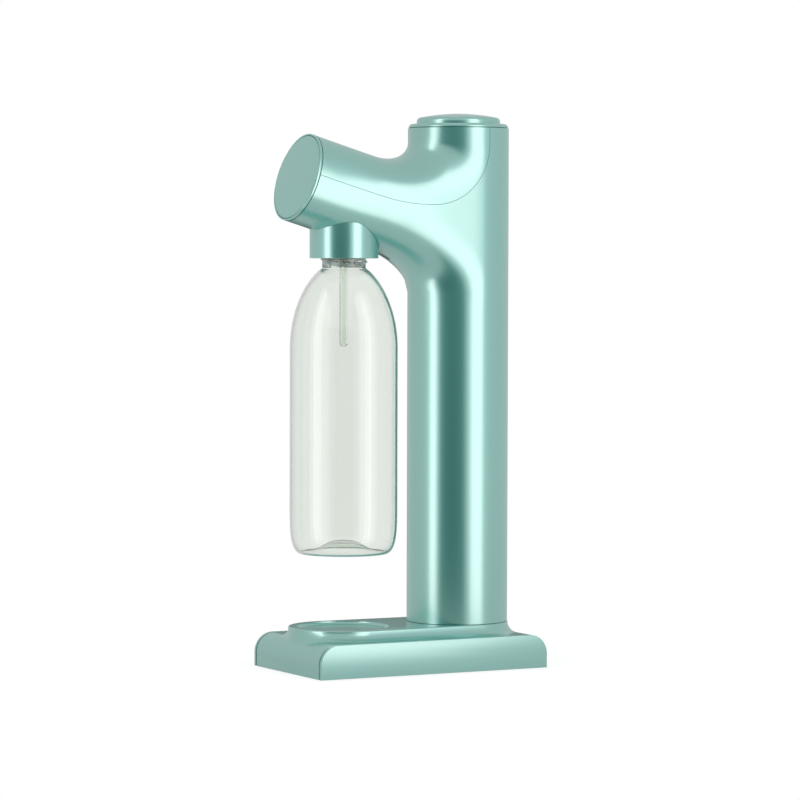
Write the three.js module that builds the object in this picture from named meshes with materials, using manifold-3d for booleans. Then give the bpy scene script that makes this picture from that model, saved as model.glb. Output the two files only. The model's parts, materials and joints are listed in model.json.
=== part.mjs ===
// Countertop sparkling water maker: a base with a raised platform, a round column that holds
// the gas cylinder, a tilted arm with the bottle socket, and a push button on top.
// Millimetres, +Z up, the bottle side faces -Y, and the origin is under the middle of the box.

import * as THREE from 'three';
import { mergeVertices } from 'three/addons/utils/BufferGeometryUtils.js';
import Module from 'manifold-3d';

const wasm = await Module();
wasm.setup();

// Clearances and walls
const gap = 0.3;
const seamGap = 0.3;
const runningGap = 0.4;
const liningGap = 0.5;
const weld = 0.0005;
const overrun = 5;
const shellWall = 2.5;

// Base
const baseAheadOfPlatform = 5.5;
const baseBehindColumn = 8.7;
const baseWidth = 111.2;
const deckHeight = 25.5;
const baseCornerRadius = 14.5;
const floorClearance = 0.6;
const platformHeight = 33.3;
const platformEdge = 1.0;
const platformFillet = 9;
const platformFrontRadius = 41;
const platformRearRadius = 38.4;
const sidePlateThickness = 2.6;
const sideGrooveWidth = 1;
const sideGrooveDepth = 1.2;
const baseWall = 3.2;
const bottomPlateThickness = 2.5;

// Drip plate and the recess that it lies in
const recessRimRadius = 34.5;
const recessDepth = 2.2;
const dripRadius = 30.8;
const dripThickness = 1.8;
const pocketRadius = 26;
const pocketDepth = 4.8;

// Underside: feet, screws, ballast, cylinder door
const footRadius = 7;
const footTop = 1.6;
const footInset = 14;
const screwInset = 8.5;
const screwSetback = 30;
const screwHeadRadius = 2.4;
const screwShankRadius = 1.3;
const screwHeadHeight = 1.5;
const bossRadius = 3.6;
const ballastThickness = 9;
const ballastSetback = 17.8;
const ballastToDoor = 27.8;
const ballastToBoss = 1.6;
const doorRadius = 34;
const doorThickness = 2.3;
const doorTabToWall = 6;
const doorTabWidth = 10;
const doorTabThickness = 2.1;
const doorRimRadius = 31.2;
const doorRimWall = 3;
const doorTurnDegrees = 45;
const fingerRadius = 12;
const fingerOffset = 15;
const fingerDepth = 1.3;
const padRadius = 18;

// Flange that clamps the column to the base
const flangeHeight = 7.5;
const flangeBoltRadius = 32.9;
const flangeBoltShank = 1.0;
const flangeBoltHead = 2.1;

// Column and head
const columnRadius = 38;
const columnAboveCylinder = 71.4;
const armBeyondBottle = 39.2;
const armEndHeight = 366.6;
const armTiltDegrees = 16.7;
const armRadius = 33.3;
const roundingSettles = 80;
const widthSettles = 115;
const upperBlendReach = 28.3;
const upperBlendRise = 17.3;
const lowerBlendReach = 59.6;
const lowerBlendDrop = 28.9;
const seamRise = 1.7;
const seamBendRadius = 46;
const seamBehindAxis = 6.1;
const seamLowest = 346.6;
const seamLeaveReach = 97;
const seamEasing = 22;
const endRingThickness = 2.2;
const endCapFaceGap = 0.35;
const endBevel = 0.8;
const endRingWidth = 1.3;

// Top ring and button
const topRingHeight = 3.1;
const topRingRadius = 37.4;
const topRingShoulder = 1.6;
const buttonRadius = 31.4;
const buttonProud = 7.8;
const buttonRound = 3.2;
const buttonCrown = 2.8;
const buttonWall = 2.2;
const buttonSkirt = 9;
const stemRadius = 3;
const postRadius = 4.5;
const guideDepth = 18;
const guideFloor = 2.5;
const springRadius = 8.4;
const springWire = 0.8;
const springTurns = 6;
const springTail = 1.6;

// Bottle place: socket, collar, nozzle
const bottleReach = 96.6;
const collarRadius = 25.5;
const collarWall = 2.7;
const collarBottom = 306.7;
const socketInset = 0.9;
const socketBoreRadius = 17.9;
const mouthHeight = 322;
const gasketThickness = 2.6;
const nozzleBlockRadius = 19.5;
const nozzleBlockHeight = 24;
const nozzleFlangeRadius = 23.5;
const nozzleFlangeThickness = 3;
const nozzleFlangeRise = 14.3;
const nozzlePlateThickness = 3.5;
const nozzlePlateHalfLength = 24;
const outletRise = 20.9;
const collarInsert = 26.8;
const collarLip = 0.6;
const reliefRadius = 5;
const reliefCapRadius = 3.4;
const reliefHeight = 6;
const reliefCapHeight = 5;
const reliefOffset = 10;
const ventLength = 9;
const ventWidth = 3.2;
const ventBehindCollar = 8.4;
const tubeRadius = 3.3;
const tubeBore = 1.5;
const nozzleTipHeight = 241.2;
const nozzleTipLength = 7;

// Bottle
const bottleBottom = 87.2;
const bottleFootRadius = 30;
const bottleHeelHeight = 31;
const bottleShoulderHeight = 60;
const bottleRadius = 40;
const bottleShoulder = 299.5;
const bottleNeckRadius = 16.2;
const threadHeight = 1.2;
const threadPitch = 4;
const bottleWall = 1.2;
const neckWall = 1.9;
const puntHeight = 9;
const heelReachShare = 0.8;
const domeRiseShare = 0.52;
const domeDrawShare = 0.44;
const domeEase = 7.5;
const puntShares = [[0.33, 0.86], [0.67, 0.25]];

// Gas cylinder and valve
const cylinderRadius = 30;
const cylinderWall = 3;
const cylinderFloor = 9.4;
const cylinderShoulderDrop = 33;
const cylinderNeckRadius = 13;
const cylinderNeckTop = 333;
const valveRadius = 10.4;
const valveHeight = 19;
const counterboreDepth = 3.6;
const valvePinRadius = 1.5;
const valveStemRadius = 8.7;
const valveStemLength = 10;
const guideBelowShoulder = 14;
const guideRingHeight = 8;
const guideBoreGap = 0.6;

// Valve head and lever
const valveHeadRadius = 17;
const valveHeadSkirt = 13.5;
const valveHeadRoof = 13.3;
const sealThickness = 2;
const carrierThickness = 4;
const carrierDrop = 2.6;
const headFlangeRadius = 21;
const headFlangeThickness = 3;
const fittingRadius = 2.6;
const fittingLength = 9;
const inletRise = 5;
const plungerRadius = 2.5;
const leverPivotReach = 20;
const leverStemReach = 34;
const leverThickness = 6;
const leverWidth = 8;
const pivotRadius = 2;
const pivotRise = 10.8;
const earThickness = 3.5;
const earReach = 5;
const bracketThickness = 3;
const bracketFront = 12;
const noseRadius = 1.2;
const noseDrop = 0.8;
const hoseRadius = 3;
const hoseEase = 16;

// Counts
const fine = 32;
const coarse = 20;
const small = 8;
const sectionSteps = 16;
const bisections = 40;
const wireSides = 5;
const turnSteps = 8;

const tilt = THREE.MathUtils.degToRad(armTiltDegrees);
const armReach = bottleReach + armBeyondBottle;
const baseAhead = platformFrontRadius + baseAheadOfPlatform;
const baseBehind = columnRadius + baseBehindColumn;
const halfLength = (baseAhead + bottleReach + baseBehind) / 2;
const columnY = halfLength - baseBehind;
const bottleY = columnY - bottleReach;
const columnTop = cylinderNeckTop + columnAboveCylinder;
const cylinderShoulder = cylinderNeckTop - cylinderShoulderDrop;
const guideHeight = cylinderShoulder - guideBelowShoulder;
const armForward = new THREE.Vector3(0, -Math.cos(tilt), Math.sin(tilt));
const armUp = new THREE.Vector3(0, Math.sin(tilt), Math.cos(tilt));
const sideways = new THREE.Vector3(1, 0, 0);
const forward = new THREE.Vector3(0, -1, 0);
const axes = [sideways, new THREE.Vector3(0, 1, 0), new THREE.Vector3(0, 0, 1)];
const armLength = armReach / Math.cos(tilt);
const armRoot = new THREE.Vector3(0, columnY, armEndHeight - armReach * Math.tan(tilt));
const columnFoot = platformHeight + gap;
const shellTop = columnTop - gap / 2;

const group = new THREE.Group();

// Finishes
const finish = (color, roughness, metalness) => () => new THREE.MeshStandardMaterial({
  color,
  roughness,
  metalness,
});
const pearl = finish(0x8cbab0, 0.3, 0.6);
const clear = finish(0xdfe4de, 0.08, 0);
const steel = finish(0xb8bcbe, 0.35, 1);
const brass = finish(0xc2a15a, 0.35, 1);
const rubber = finish(0x2c2f30, 0.85, 0);
const darkPlastic = finish(0x3a4344, 0.6, 0);
const palePlastic = finish(0xd9dedc, 0.5, 0);
const cylinderPaint = finish(0xc9ced0, 0.4, 0.7);

// Turns a mesh the right way out by the sign of its volume
function facingOut(geometry) {
  const place = geometry.attributes.position;
  const corners = geometry.index.array;
  const a = new THREE.Vector3();
  const b = new THREE.Vector3();
  const c = new THREE.Vector3();
  let volume = 0;
  for (let i = 0; i < corners.length; i += 3) {
    a.fromBufferAttribute(place, corners[i]);
    b.fromBufferAttribute(place, corners[i + 1]);
    c.fromBufferAttribute(place, corners[i + 2]);
    volume += a.dot(b.cross(c));
  }
  if (volume < 0) {
    for (let i = 0; i < corners.length; i += 3) {
      [corners[i + 1], corners[i + 2]] = [corners[i + 2], corners[i + 1]];
    }
  }
  return geometry;
}

// Welds equal corners, drops flattened triangles and faces the mesh outwards
function welded(source) {
  source.deleteAttribute('normal');
  source.deleteAttribute('uv');
  const joined = mergeVertices(source, weld);
  const kept = [];
  for (let i = 0; i < joined.index.count; i += 3) {
    const face = [0, 1, 2].map((k) => joined.index.getX(i + k));
    if (new Set(face).size === 3) kept.push(...face);
  }
  joined.setIndex(kept);
  return facingOut(joined);
}

function solid(geometry) {
  const ready = welded(geometry);
  return new wasm.Manifold(new wasm.Mesh({
    numProp: 3,
    vertProperties: new Float32Array(ready.attributes.position.array),
    triVerts: new Uint32Array(ready.index.array),
  }));
}

function geometryOf(body) {
  const mesh = body.getMesh();
  const geometry = new THREE.BufferGeometry();
  geometry.setAttribute('position', new THREE.BufferAttribute(new Float32Array(mesh.vertProperties), 3));
  geometry.setIndex(Array.from(mesh.triVerts));
  return geometry;
}

// Joins the first list of solids and cuts the second list from it
function carved(joins, cuts = []) {
  let body = joins[0];
  for (const other of joins.slice(1)) body = body.add(other);
  for (const cut of cuts) body = body.subtract(cut);
  return geometryOf(body);
}

function piece(name, geometry, material, parent = group) {
  const ready = geometry.index && !geometry.attributes.normal ? geometry : welded(geometry);
  ready.computeVertexNormals();
  const mesh = new THREE.Mesh(ready, material);
  mesh.name = name;
  parent.add(mesh);
  return mesh;
}

// A round piece about a vertical line: profile points are [radius, height]
function turned(profile, x, y, segments = fine) {
  const points = profile.map(([radius, height]) => new THREE.Vector2(radius, height));
  const geometry = new THREE.LatheGeometry(points, segments);
  geometry.rotateX(Math.PI / 2);
  geometry.translate(x, y, 0);
  return geometry;
}

// A plain post or hole between two heights
function post(radius, low, high, x, y, segments = coarse) {
  return turned([[0, low], [radius, low], [radius, high], [0, high]], x, y, segments);
}

// A ring of rectangular section
function ring(inside, outside, low, high, x, y, segments = coarse) {
  const profile = [[inside, low], [outside, low], [outside, high], [inside, high], [inside, low]];
  return turned(profile, x, y, segments);
}

function block(x0, x1, y0, y1, z0, z1) {
  const geometry = new THREE.BoxGeometry(x1 - x0, y1 - y0, z1 - z0);
  geometry.translate((x0 + x1) / 2, (y0 + y1) / 2, (z0 + z1) / 2);
  return geometry;
}

// An outline in the side view, [y, z], pushed out between two x values
function sidePrism(outline, x0, x1) {
  const shape = new THREE.Shape(outline.map(([y, z]) => new THREE.Vector2(y, z)));
  const geometry = new THREE.ExtrudeGeometry(shape, { depth: x1 - x0, bevelEnabled: false, steps: 1 });
  geometry.applyMatrix4(new THREE.Matrix4().set(0, 0, 1, x0, 1, 0, 0, 0, 0, 1, 0, 0, 0, 0, 0, 1));
  return geometry;
}

// A round bar between two points
function bar(radius, from, to, segments = small) {
  const along = new THREE.Vector3().subVectors(to, from);
  const geometry = new THREE.CylinderGeometry(radius, radius, along.length(), segments);
  const turn = new THREE.Quaternion().setFromUnitVectors(new THREE.Vector3(0, 1, 0), along.normalize());
  geometry.applyQuaternion(turn);
  geometry.translate((from.x + to.x) / 2, (from.y + to.y) / 2, (from.z + to.z) / 2);
  return geometry;
}

// Closed rings of equally many points, stacked and capped
function lofted(rings) {
  const count = rings[0].length;
  const flat = rings.flat();
  const faces = [];
  for (let level = 0; level + 1 < rings.length; level += 1) {
    for (let k = 0; k < count; k += 1) {
      const next = (k + 1) % count;
      const a = level * count + k;
      const b = level * count + next;
      faces.push(a, b, b + count, a, b + count, a + count);
    }
  }
  for (const [level, order] of [[0, 1], [rings.length - 1, 0]]) {
    const hub = flat.length;
    flat.push(rings[level].reduce((sum, p) => sum.add(p), new THREE.Vector3()).divideScalar(count));
    for (let k = 0; k < count; k += 1) {
      const pair = [level * count + k, level * count + ((k + 1) % count)];
      faces.push(hub, pair[order], pair[1 - order]);
    }
  }
  return meshOf(flat, faces);
}

function meshOf(points, faces) {
  const geometry = new THREE.BufferGeometry();
  const flat = points.flatMap((p) => [p.x, p.y, p.z]);
  geometry.setAttribute('position', new THREE.Float32BufferAttribute(flat, 3));
  geometry.setIndex(faces);
  return facingOut(geometry);
}

// How far a place in the side view lies past the column's front line and a line of the arm, with
// an elliptical blend in the corner between them
function pastCorner(pastFront, pastArm, along, beside, lean) {
  const nearFront = 1 - pastFront / along;
  const nearArm = 1 - pastArm / beside;
  const armShare = nearFront - lean * nearArm;
  const frontShare = nearArm - lean * nearFront;
  if (armShare <= 0 || frontShare <= 0) return Math.min(pastFront, pastArm);
  const size = (along * armShare + beside * frontShare) / (armShare + frontShare);
  const square = nearFront ** 2 + nearArm ** 2 - 2 * lean * nearFront * nearArm;
  return size * (1 - Math.sqrt(square / (1 - lean ** 2)));
}

// The head's outer form: the outline of its side view, rounded over to the full width. The result
// is zero on the skin and negative inside.
function headField(p) {
  const ahead = columnY - p.y;
  const pastFront = ahead - columnRadius;
  const rise = new THREE.Vector3().subVectors(p, armRoot).dot(armUp);
  const lean = armUp.dot(forward);
  const above = pastCorner(pastFront, rise - armRadius, upperBlendReach, upperBlendRise, lean);
  const below = pastCorner(pastFront, -rise - armRadius, lowerBlendReach, lowerBlendDrop, -lean);
  const outside = Math.max(above, below, -ahead - columnRadius);
  const sizeAt = (settles) => THREE.MathUtils.lerp(
    columnRadius,
    armRadius,
    THREE.MathUtils.smoothstep(ahead, columnRadius, settles),
  );
  const depth = sizeAt(roundingSettles);
  return depth * (Math.hypot(Math.max(0, 1 + outside / depth), p.x / sizeAt(widthSettles)) - 1);
}

// Where a ray from inside the form meets the skin, and the point under it on the wall's inside
const farOut = columnRadius + armRadius + lowerBlendReach;
function skinPair(origin, direction) {
  let near = 0;
  let far = farOut;
  const at = (distance) => new THREE.Vector3().copy(origin).addScaledVector(direction, distance);
  for (let i = 0; i < bisections; i += 1) {
    const middle = (near + far) / 2;
    if (headField(at(middle)) < 0) near = middle;
    else far = middle;
  }
  const outer = at(near);
  const slope = new THREE.Vector3(...axes.map((axis) => headField(outer.clone().addScaledVector(axis, gap))
    - headField(outer.clone().addScaledVector(axis, -gap))));
  return [outer, outer.clone().addScaledVector(slope.normalize(), -shellWall)];
}

// A skin of finite thickness, sewn from rows of outer and inner points
class Skin {
  constructor() {
    this.outer = [];
    this.inner = [];
    this.quads = [];
    this.known = new Map();
  }

  corner([outer, inner]) {
    const key = outer.toArray().map((v) => Math.round(v / (weld * 2))).join();
    if (!this.known.has(key)) {
      this.known.set(key, this.outer.length);
      this.outer.push(outer);
      this.inner.push(inner);
    }
    return this.known.get(key);
  }

  addRows(rows, flipped = false) {
    const grid = rows.map((row) => row.map((pair) => this.corner(pair)));
    for (let i = 0; i + 1 < grid.length; i += 1) {
      for (let j = 0; j + 1 < grid[i].length; j += 1) {
        const quad = [grid[i][j], grid[i][j + 1], grid[i + 1][j + 1], grid[i + 1][j]];
        this.quads.push(flipped ? quad.reverse() : quad);
      }
    }
  }

  geometry() {
    const count = this.outer.length;
    const faces = [];
    const edges = new Map();
    const triangle = (a, b, c) => {
      if (a === b || b === c || a === c) return;
      faces.push(a, b, c, a + count, c + count, b + count);
      for (const [from, to] of [[a, b], [b, c], [c, a]]) {
        if (edges.has(`${to},${from}`)) edges.delete(`${to},${from}`);
        else edges.set(`${from},${to}`, [from, to]);
      }
    };
    for (const [a, b, c, d] of this.quads) {
      triangle(a, b, c);
      triangle(a, c, d);
    }
    for (const [from, to] of edges.values()) {
      faces.push(to, from, from + count, to, from + count, to + count);
    }
    return meshOf([...this.outer, ...this.inner], faces);
  }
}

// One half-round section: from the +X side, over the given direction, to the -X side
function sectionRow(origin, across) {
  const row = [];
  for (let k = 0; k <= sectionSteps; k += 1) {
    const angle = (Math.PI * k) / sectionSteps;
    const direction = new THREE.Vector3().copy(sideways).multiplyScalar(Math.cos(angle));
    direction.addScaledVector(across, Math.sin(angle));
    row.push(skinPair(origin, direction));
  }
  return row;
}

// The parting line of the upper cover, seen from the side: along the arm, then up the column
const armPoint = (reach, rise) => new THREE.Vector3().copy(armRoot)
  .addScaledVector(armForward, reach).addScaledVector(armUp, rise);
const bendCentre = new THREE.Vector3(
  0,
  columnY + seamBehindAxis - seamBendRadius,
  seamLowest + seamBendRadius,
);
const seamStart = armLength - endRingThickness - gap;
const seamLeave = armPoint(seamLeaveReach, seamRise);
const seamBottom = new THREE.Vector3(0, bendCentre.y, seamLowest);
const seamEase = new THREE.CubicBezierCurve3(
  seamLeave,
  new THREE.Vector3().copy(seamLeave).addScaledVector(armForward, -seamEasing),
  new THREE.Vector3().copy(seamBottom).addScaledVector(forward, seamEasing),
  seamBottom,
);

// Centres of the blends above and below the arm
const blendCentre = (along, beside, side) => armPoint(
  (columnRadius + along + side * (armRadius + beside) * Math.sin(tilt)) / Math.cos(tilt),
  side * (armRadius + beside),
);
const upperCentre = blendCentre(upperBlendReach, upperBlendRise, 1);
const lowerCentre = blendCentre(lowerBlendReach, lowerBlendDrop, -1);

// Sections turn about a blend's centre once they pass it, and lie square to arm or column elsewhere
function towards(centre, from, armSide) {
  const alongArm = new THREE.Vector3().subVectors(from, centre).dot(armForward);
  if (alongArm > 0) return new THREE.Vector3().copy(armUp).multiplyScalar(armSide);
  if ((from.z - centre.z) * armSide > 0) return forward;
  return new THREE.Vector3().subVectors(centre, from).normalize();
}

function evenly(count, from, to) {
  return Array.from({ length: count + 1 }, (_, k) => THREE.MathUtils.lerp(from, to, k / count));
}

// The parting line's points, with the direction square to it on the cover's side
const armSeam = [
  ...evenly(3, seamStart, seamLeaveReach).slice(0, -1).map((reach) => [armPoint(reach, seamRise), armUp]),
  ...evenly(5, 0, 1).map((t) => {
    const along = seamEase.getTangent(t);
    return [seamEase.getPoint(t), new THREE.Vector3(0, -along.z, along.y)];
  }),
];
const bendSeam = evenly(9, 0, Math.PI / 2).slice(1).map((angle) => {
  const out = new THREE.Vector3(0, Math.sin(angle), -Math.cos(angle));
  return [new THREE.Vector3().copy(bendCentre).addScaledVector(out, seamBendRadius), out.negate()];
});
const topSeam = [[new THREE.Vector3(0, columnY + seamBehindAxis, shellTop), forward]];
const shifted = (seam, shift) => seam.map(([point, square]) => point.clone().addScaledVector(square, shift));

function upperCover() {
  const skin = new Skin();
  const path = shifted([...armSeam, ...bendSeam, ...topSeam], seamGap / 2);
  skin.addRows(path.map((from) => sectionRow(from, towards(upperCentre, from, 1))));
  return skin.geometry();
}

// The lower half of the arm and the front of the column
function lowerFront(skin, lowerPath) {
  skin.addRows(lowerPath.map((from) => sectionRow(from, towards(lowerCentre, from, -1))));
}

// The back of the head and column, from one edge of the front round to the other
function roundBack(skin, edgePath) {
  const rows = edgePath.map((edge) => {
    const height = edge.z;
    const half = evenly(4, edge.y, Math.max(columnY, edge.y)).slice(0, -1)
      .map((y) => [new THREE.Vector3(0, y, height), sideways]);
    const centre = new THREE.Vector3(0, Math.max(columnY, edge.y), height);
    const rear = evenly(sectionSteps, 0, Math.PI)
      .map((angle) => [centre, new THREE.Vector3(Math.cos(angle), Math.sin(angle), 0)]);
    const mirrored = half.map(([from]) => [from, new THREE.Vector3().copy(sideways).negate()]).reverse();
    return [...half, ...rear, ...mirrored].map(([from, direction]) => skinPair(from, direction));
  });
  skin.addRows(rows, true);
}

function mainShell() {
  const skin = new Skin();
  const arm = shifted(armSeam, -seamGap / 2);
  const upward = shifted([...bendSeam, ...topSeam], -seamGap / 2);
  const branch = arm[arm.length - 1];
  const downward = evenly(9, 0, Math.PI / 2).slice(1).map((angle) => new THREE.Vector3(
    0,
    branch.y + (columnY - branch.y) * Math.sin(angle),
    lowerCentre.z + (branch.z - lowerCentre.z) * Math.cos(angle),
  ));
  const straight = evenly(3, lowerCentre.z, columnFoot).slice(1).map((z) => new THREE.Vector3(0, columnY, z));
  lowerFront(skin, [...arm, ...downward, ...straight]);
  roundBack(skin, [...upward.reverse(), branch, ...downward, ...straight]);
  return skin.geometry();
}

// Base
const bodyHalfWidth = baseWidth / 2 - sidePlateThickness - gap;

// The base's side outline, drawn in by an inset, down to a floor height
function sideOutline(inset, floor) {
  const radius = baseCornerRadius - inset;
  const arc = evenly(8, 0, Math.PI / 2).map((angle) => [
    halfLength - baseCornerRadius + radius * Math.cos(angle),
    deckHeight - baseCornerRadius + radius * Math.sin(angle),
  ]);
  const mirrored = arc.map(([y, z]) => [-y, z]).reverse();
  return [[halfLength - inset, floor], ...arc, ...mirrored, [-halfLength + inset, floor]];
}

const cornerY = halfLength - baseCornerRadius;
const cornerHeight = deckHeight - baseCornerRadius;
const wallTop = platformHeight - platformEdge;

// One section of the platform's side, from a root inside the base up to the flat top: a round
// fillet that rests on the deck or its rounded end, the wall, and a rounded edge
function platformSection(angle, radius, centre) {
  const out = new THREE.Vector3(Math.cos(angle), Math.sin(angle), 0);
  const ball = new THREE.Vector3(0, centre, 0).addScaledVector(out, radius + platformFillet);
  const past = Math.max(0, Math.abs(ball.y) - cornerY);
  const rise = Math.sqrt((baseCornerRadius + platformFillet) ** 2 - past ** 2);
  ball.z = cornerHeight + rise;
  const skin = new THREE.Vector3(0, Math.sign(ball.y) * past, rise).normalize();
  const turn = skin.angleTo(out);
  const above = Math.max(0, ball.z - wallTop) / platformFillet;
  const fillet = evenly(5, 0, turn - Math.asin(above * Math.sin(turn) / skin.z)).map((part) => {
    const way = skin.clone().multiplyScalar(Math.sin(turn - part)).addScaledVector(out, Math.sin(part));
    return ball.clone().addScaledVector(way, -platformFillet / Math.sin(turn));
  });
  const edge = evenly(3, 0, Math.PI / 2).map((part) => fillet[fillet.length - 1].clone()
    .addScaledVector(out, -platformEdge * (1 - Math.cos(part)))
    .setZ(wallTop + platformEdge * Math.sin(part)));
  const root = ball.clone().addScaledVector(skin, -platformFillet - baseWall / 2);
  return [root, ...fillet, ...edge];
}

// The platform: its plan is two circles and their tangents
function platform() {
  const lean = Math.asin((platformFrontRadius - platformRearRadius) / bottleReach);
  const rear = evenly(12, lean, Math.PI - lean)
    .map((angle) => platformSection(angle, platformRearRadius, columnY));
  const front = evenly(12, Math.PI - lean, Math.PI * 2 + lean)
    .map((angle) => platformSection(angle, platformFrontRadius, bottleY));
  const sections = [...rear, ...front];
  const rings = sections[0].map((_, level) => sections.map((section) => section[level]));
  const trim = block(-bodyHalfWidth, bodyHalfWidth, -halfLength, halfLength, 0, platformHeight + overrun);
  return solid(lofted(rings)).intersect(solid(trim));
}

const corners = [[-1, -1], [1, -1], [-1, 1], [1, 1]];
const atCorners = (inset, setback) => corners
  .map(([x, y]) => [x * (bodyHalfWidth - inset), y * (halfLength - setback)]);
const screwPlaces = atCorners(screwInset, screwSetback);
const footPlaces = atCorners(footInset, footInset);
const plateTop = floorClearance + bottomPlateThickness;
const hollowTop = deckHeight - baseWall;
const flangeBolts = [0, 1, 2].map((k) => {
  const angle = (k * Math.PI * 2) / 3 - Math.PI / 2;
  return [flangeBoltRadius * Math.cos(angle), columnY + flangeBoltRadius * Math.sin(angle)];
});
const passageRadius = cylinderRadius + guideBoreGap;
const dripTop = platformHeight - recessDepth;
const dripFoot = dripTop - dripThickness;

function baseBody() {
  const lip = bodyHalfWidth - sideGrooveWidth;
  const joins = [
    solid(sidePrism(sideOutline(0, floorClearance), -lip, lip)),
    solid(sidePrism(sideOutline(sideGrooveDepth, floorClearance), -bodyHalfWidth, bodyHalfWidth)),
    platform(),
  ];
  const hollowHalf = bodyHalfWidth - baseWall;
  const hollow = sidePrism(sideOutline(baseWall, -overrun), -hollowHalf, hollowHalf);
  const shell = joins.reduce((sum, part) => sum.add(part)).subtract(solid(hollow));
  const bossFoot = plateTop + gap;
  const bosses = screwPlaces.map(([x, y]) => post(bossRadius, bossFoot, hollowTop + gap, x, y, small));
  const seat = dripFoot - gap;
  const above = platformHeight + overrun;
  const recess = turned([
    [0, seat], [dripRadius + gap, seat], [dripRadius + gap, dripTop],
    [dripRadius + (recessRimRadius - dripRadius) / 3, dripTop + recessDepth / 3],
    [recessRimRadius, platformHeight], [recessRimRadius, above], [0, above],
  ], 0, bottleY);
  const cuts = [
    recess,
    post(pocketRadius, seat - pocketDepth, seat + gap, 0, bottleY),
    post(passageRadius, 0, above, 0, columnY),
    ...screwPlaces.map(([x, y]) => post(screwShankRadius + gap, 0, hollowTop - gap, x, y, small)),
    ...flangeBolts.map(([x, y]) => post(flangeBoltShank + gap, 0, above, x, y, small)),
  ];
  return carved([shell, ...bosses.map(solid)], cuts.map(solid));
}

function sidePlate(side) {
  const outer = (side * baseWidth) / 2;
  const inner = outer - side * sidePlateThickness;
  return sidePrism(sideOutline(0, floorClearance), Math.min(outer, inner), Math.max(outer, inner));
}

const doorTabs = [0, 1, 2].map((k) => (k * Math.PI * 2) / 3);
const doorTabReach = baseBehind - baseWall - doorTabToWall;

// A bar that points out from the column's line, as a door tab or the notch that lets it pass
function radialBar(angle, from, to, width, low, high) {
  const geometry = block(from, to, -width / 2, width / 2, low, high);
  geometry.rotateZ(angle);
  geometry.translate(0, columnY, 0);
  return geometry;
}

function bottomPlate() {
  const x = bodyHalfWidth - baseWall - gap;
  const y = halfLength - baseWall - gap;
  const turn = THREE.MathUtils.degToRad(doorTurnDegrees);
  const cuts = [
    post(doorRadius + runningGap, -overrun, overrun, 0, columnY, fine),
    ...doorTabs.map((angle) => radialBar(
      angle - turn, 0, doorTabReach + runningGap, doorTabWidth + runningGap * 2, -overrun, overrun,
    )),
    ...screwPlaces.map(([sx, sy]) => post(screwShankRadius + gap, -overrun, overrun, sx, sy, small)),
    ...screwPlaces.map(([sx, sy]) => post(
      screwHeadRadius + gap, -overrun, floorClearance + screwHeadHeight, sx, sy, small,
    )),
    ...footPlaces.map(([fx, fy]) => post(footRadius + gap, -overrun, footTop + gap, fx, fy)),
  ];
  return carved([solid(block(-x, x, -y, y, floorClearance, plateTop))], cuts.map(solid));
}

function cylinderDoor() {
  const low = floorClearance + gap;
  const top = low + doorThickness;
  const tabLow = plateTop + runningGap;
  const tabHigh = tabLow + doorTabThickness;
  const rim = ring(doorRimRadius - doorRimWall, doorRimRadius, top - gap, tabHigh, 0, columnY);
  const joins = [
    post(doorRadius, low, top, 0, columnY, fine),
    rim,
    ...doorTabs.map((angle) => radialBar(
      angle, doorRimRadius - doorRimWall / 2, doorTabReach, doorTabWidth, tabLow, tabHigh,
    )),
  ];
  const fingers = [-1, 1].map((side) => post(
    fingerRadius, -overrun, low + fingerDepth, side * fingerOffset, columnY, small * 2,
  ));
  return carved(joins.map(solid), fingers.map(solid));
}

// A screw whose head is down: head from its seat, shank up to a height
const screw = (head, shank, low, high, seat, [x, y]) => turned(
  [[0, low], [head, low], [head, seat], [shank, seat], [shank, high], [0, high]], x, y, small,
);

const doorTop = floorClearance + gap + doorThickness;
piece('base_body', baseBody(), pearl());
piece('base_side_plate_left', sidePlate(-1), pearl());
piece('base_side_plate_right', sidePlate(1), pearl());
piece('base_bottom_plate', bottomPlate(), darkPlastic());
const quarters = ['front_left', 'front_right', 'rear_left', 'rear_right'];
quarters.forEach((quarter, k) => {
  const [fx, fy] = footPlaces[k];
  piece(`foot_${quarter}`, post(footRadius, 0, footTop, fx, fy), rubber());
  piece(`base_screw_${quarter}`, screw(
    screwHeadRadius, screwShankRadius, floorClearance + gap, hollowTop - gap * 2,
    floorClearance + screwHeadHeight - gap, screwPlaces[k],
  ), steel());
});
const ballastFoot = plateTop + gap;
const ballastHalf = bodyHalfWidth - screwInset - bossRadius - ballastToBoss;
piece('ballast_plate', block(
  -ballastHalf, ballastHalf, -halfLength + ballastSetback, columnY - doorTabReach - ballastToDoor,
  ballastFoot, ballastFoot + ballastThickness,
), steel());
piece('cylinder_door', cylinderDoor(), darkPlastic());
piece('door_pad', post(padRadius, doorTop + gap, cylinderFloor - gap, 0, columnY), rubber());
piece('drip_plate', post(dripRadius, dripFoot, dripTop, 0, bottleY, fine), pearl());

// Column foot
const liningRadius = columnRadius - shellWall - liningGap;
const flangeTop = columnFoot + flangeHeight;
piece('column_flange', carved(
  [solid(ring(passageRadius, liningRadius, columnFoot, flangeTop, 0, columnY))],
  flangeBolts.map(([x, y]) => solid(post(flangeBoltShank + gap, 0, flangeTop - gap * 2, x, y, small))),
), darkPlastic());
flangeBolts.forEach((place, k) => {
  const seat = hollowTop - gap;
  piece(`flange_screw_${k + 1}`, screw(
    flangeBoltHead, flangeBoltShank, seat - screwHeadHeight, flangeTop - gap * 3, seat, place,
  ), steel());
});

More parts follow.
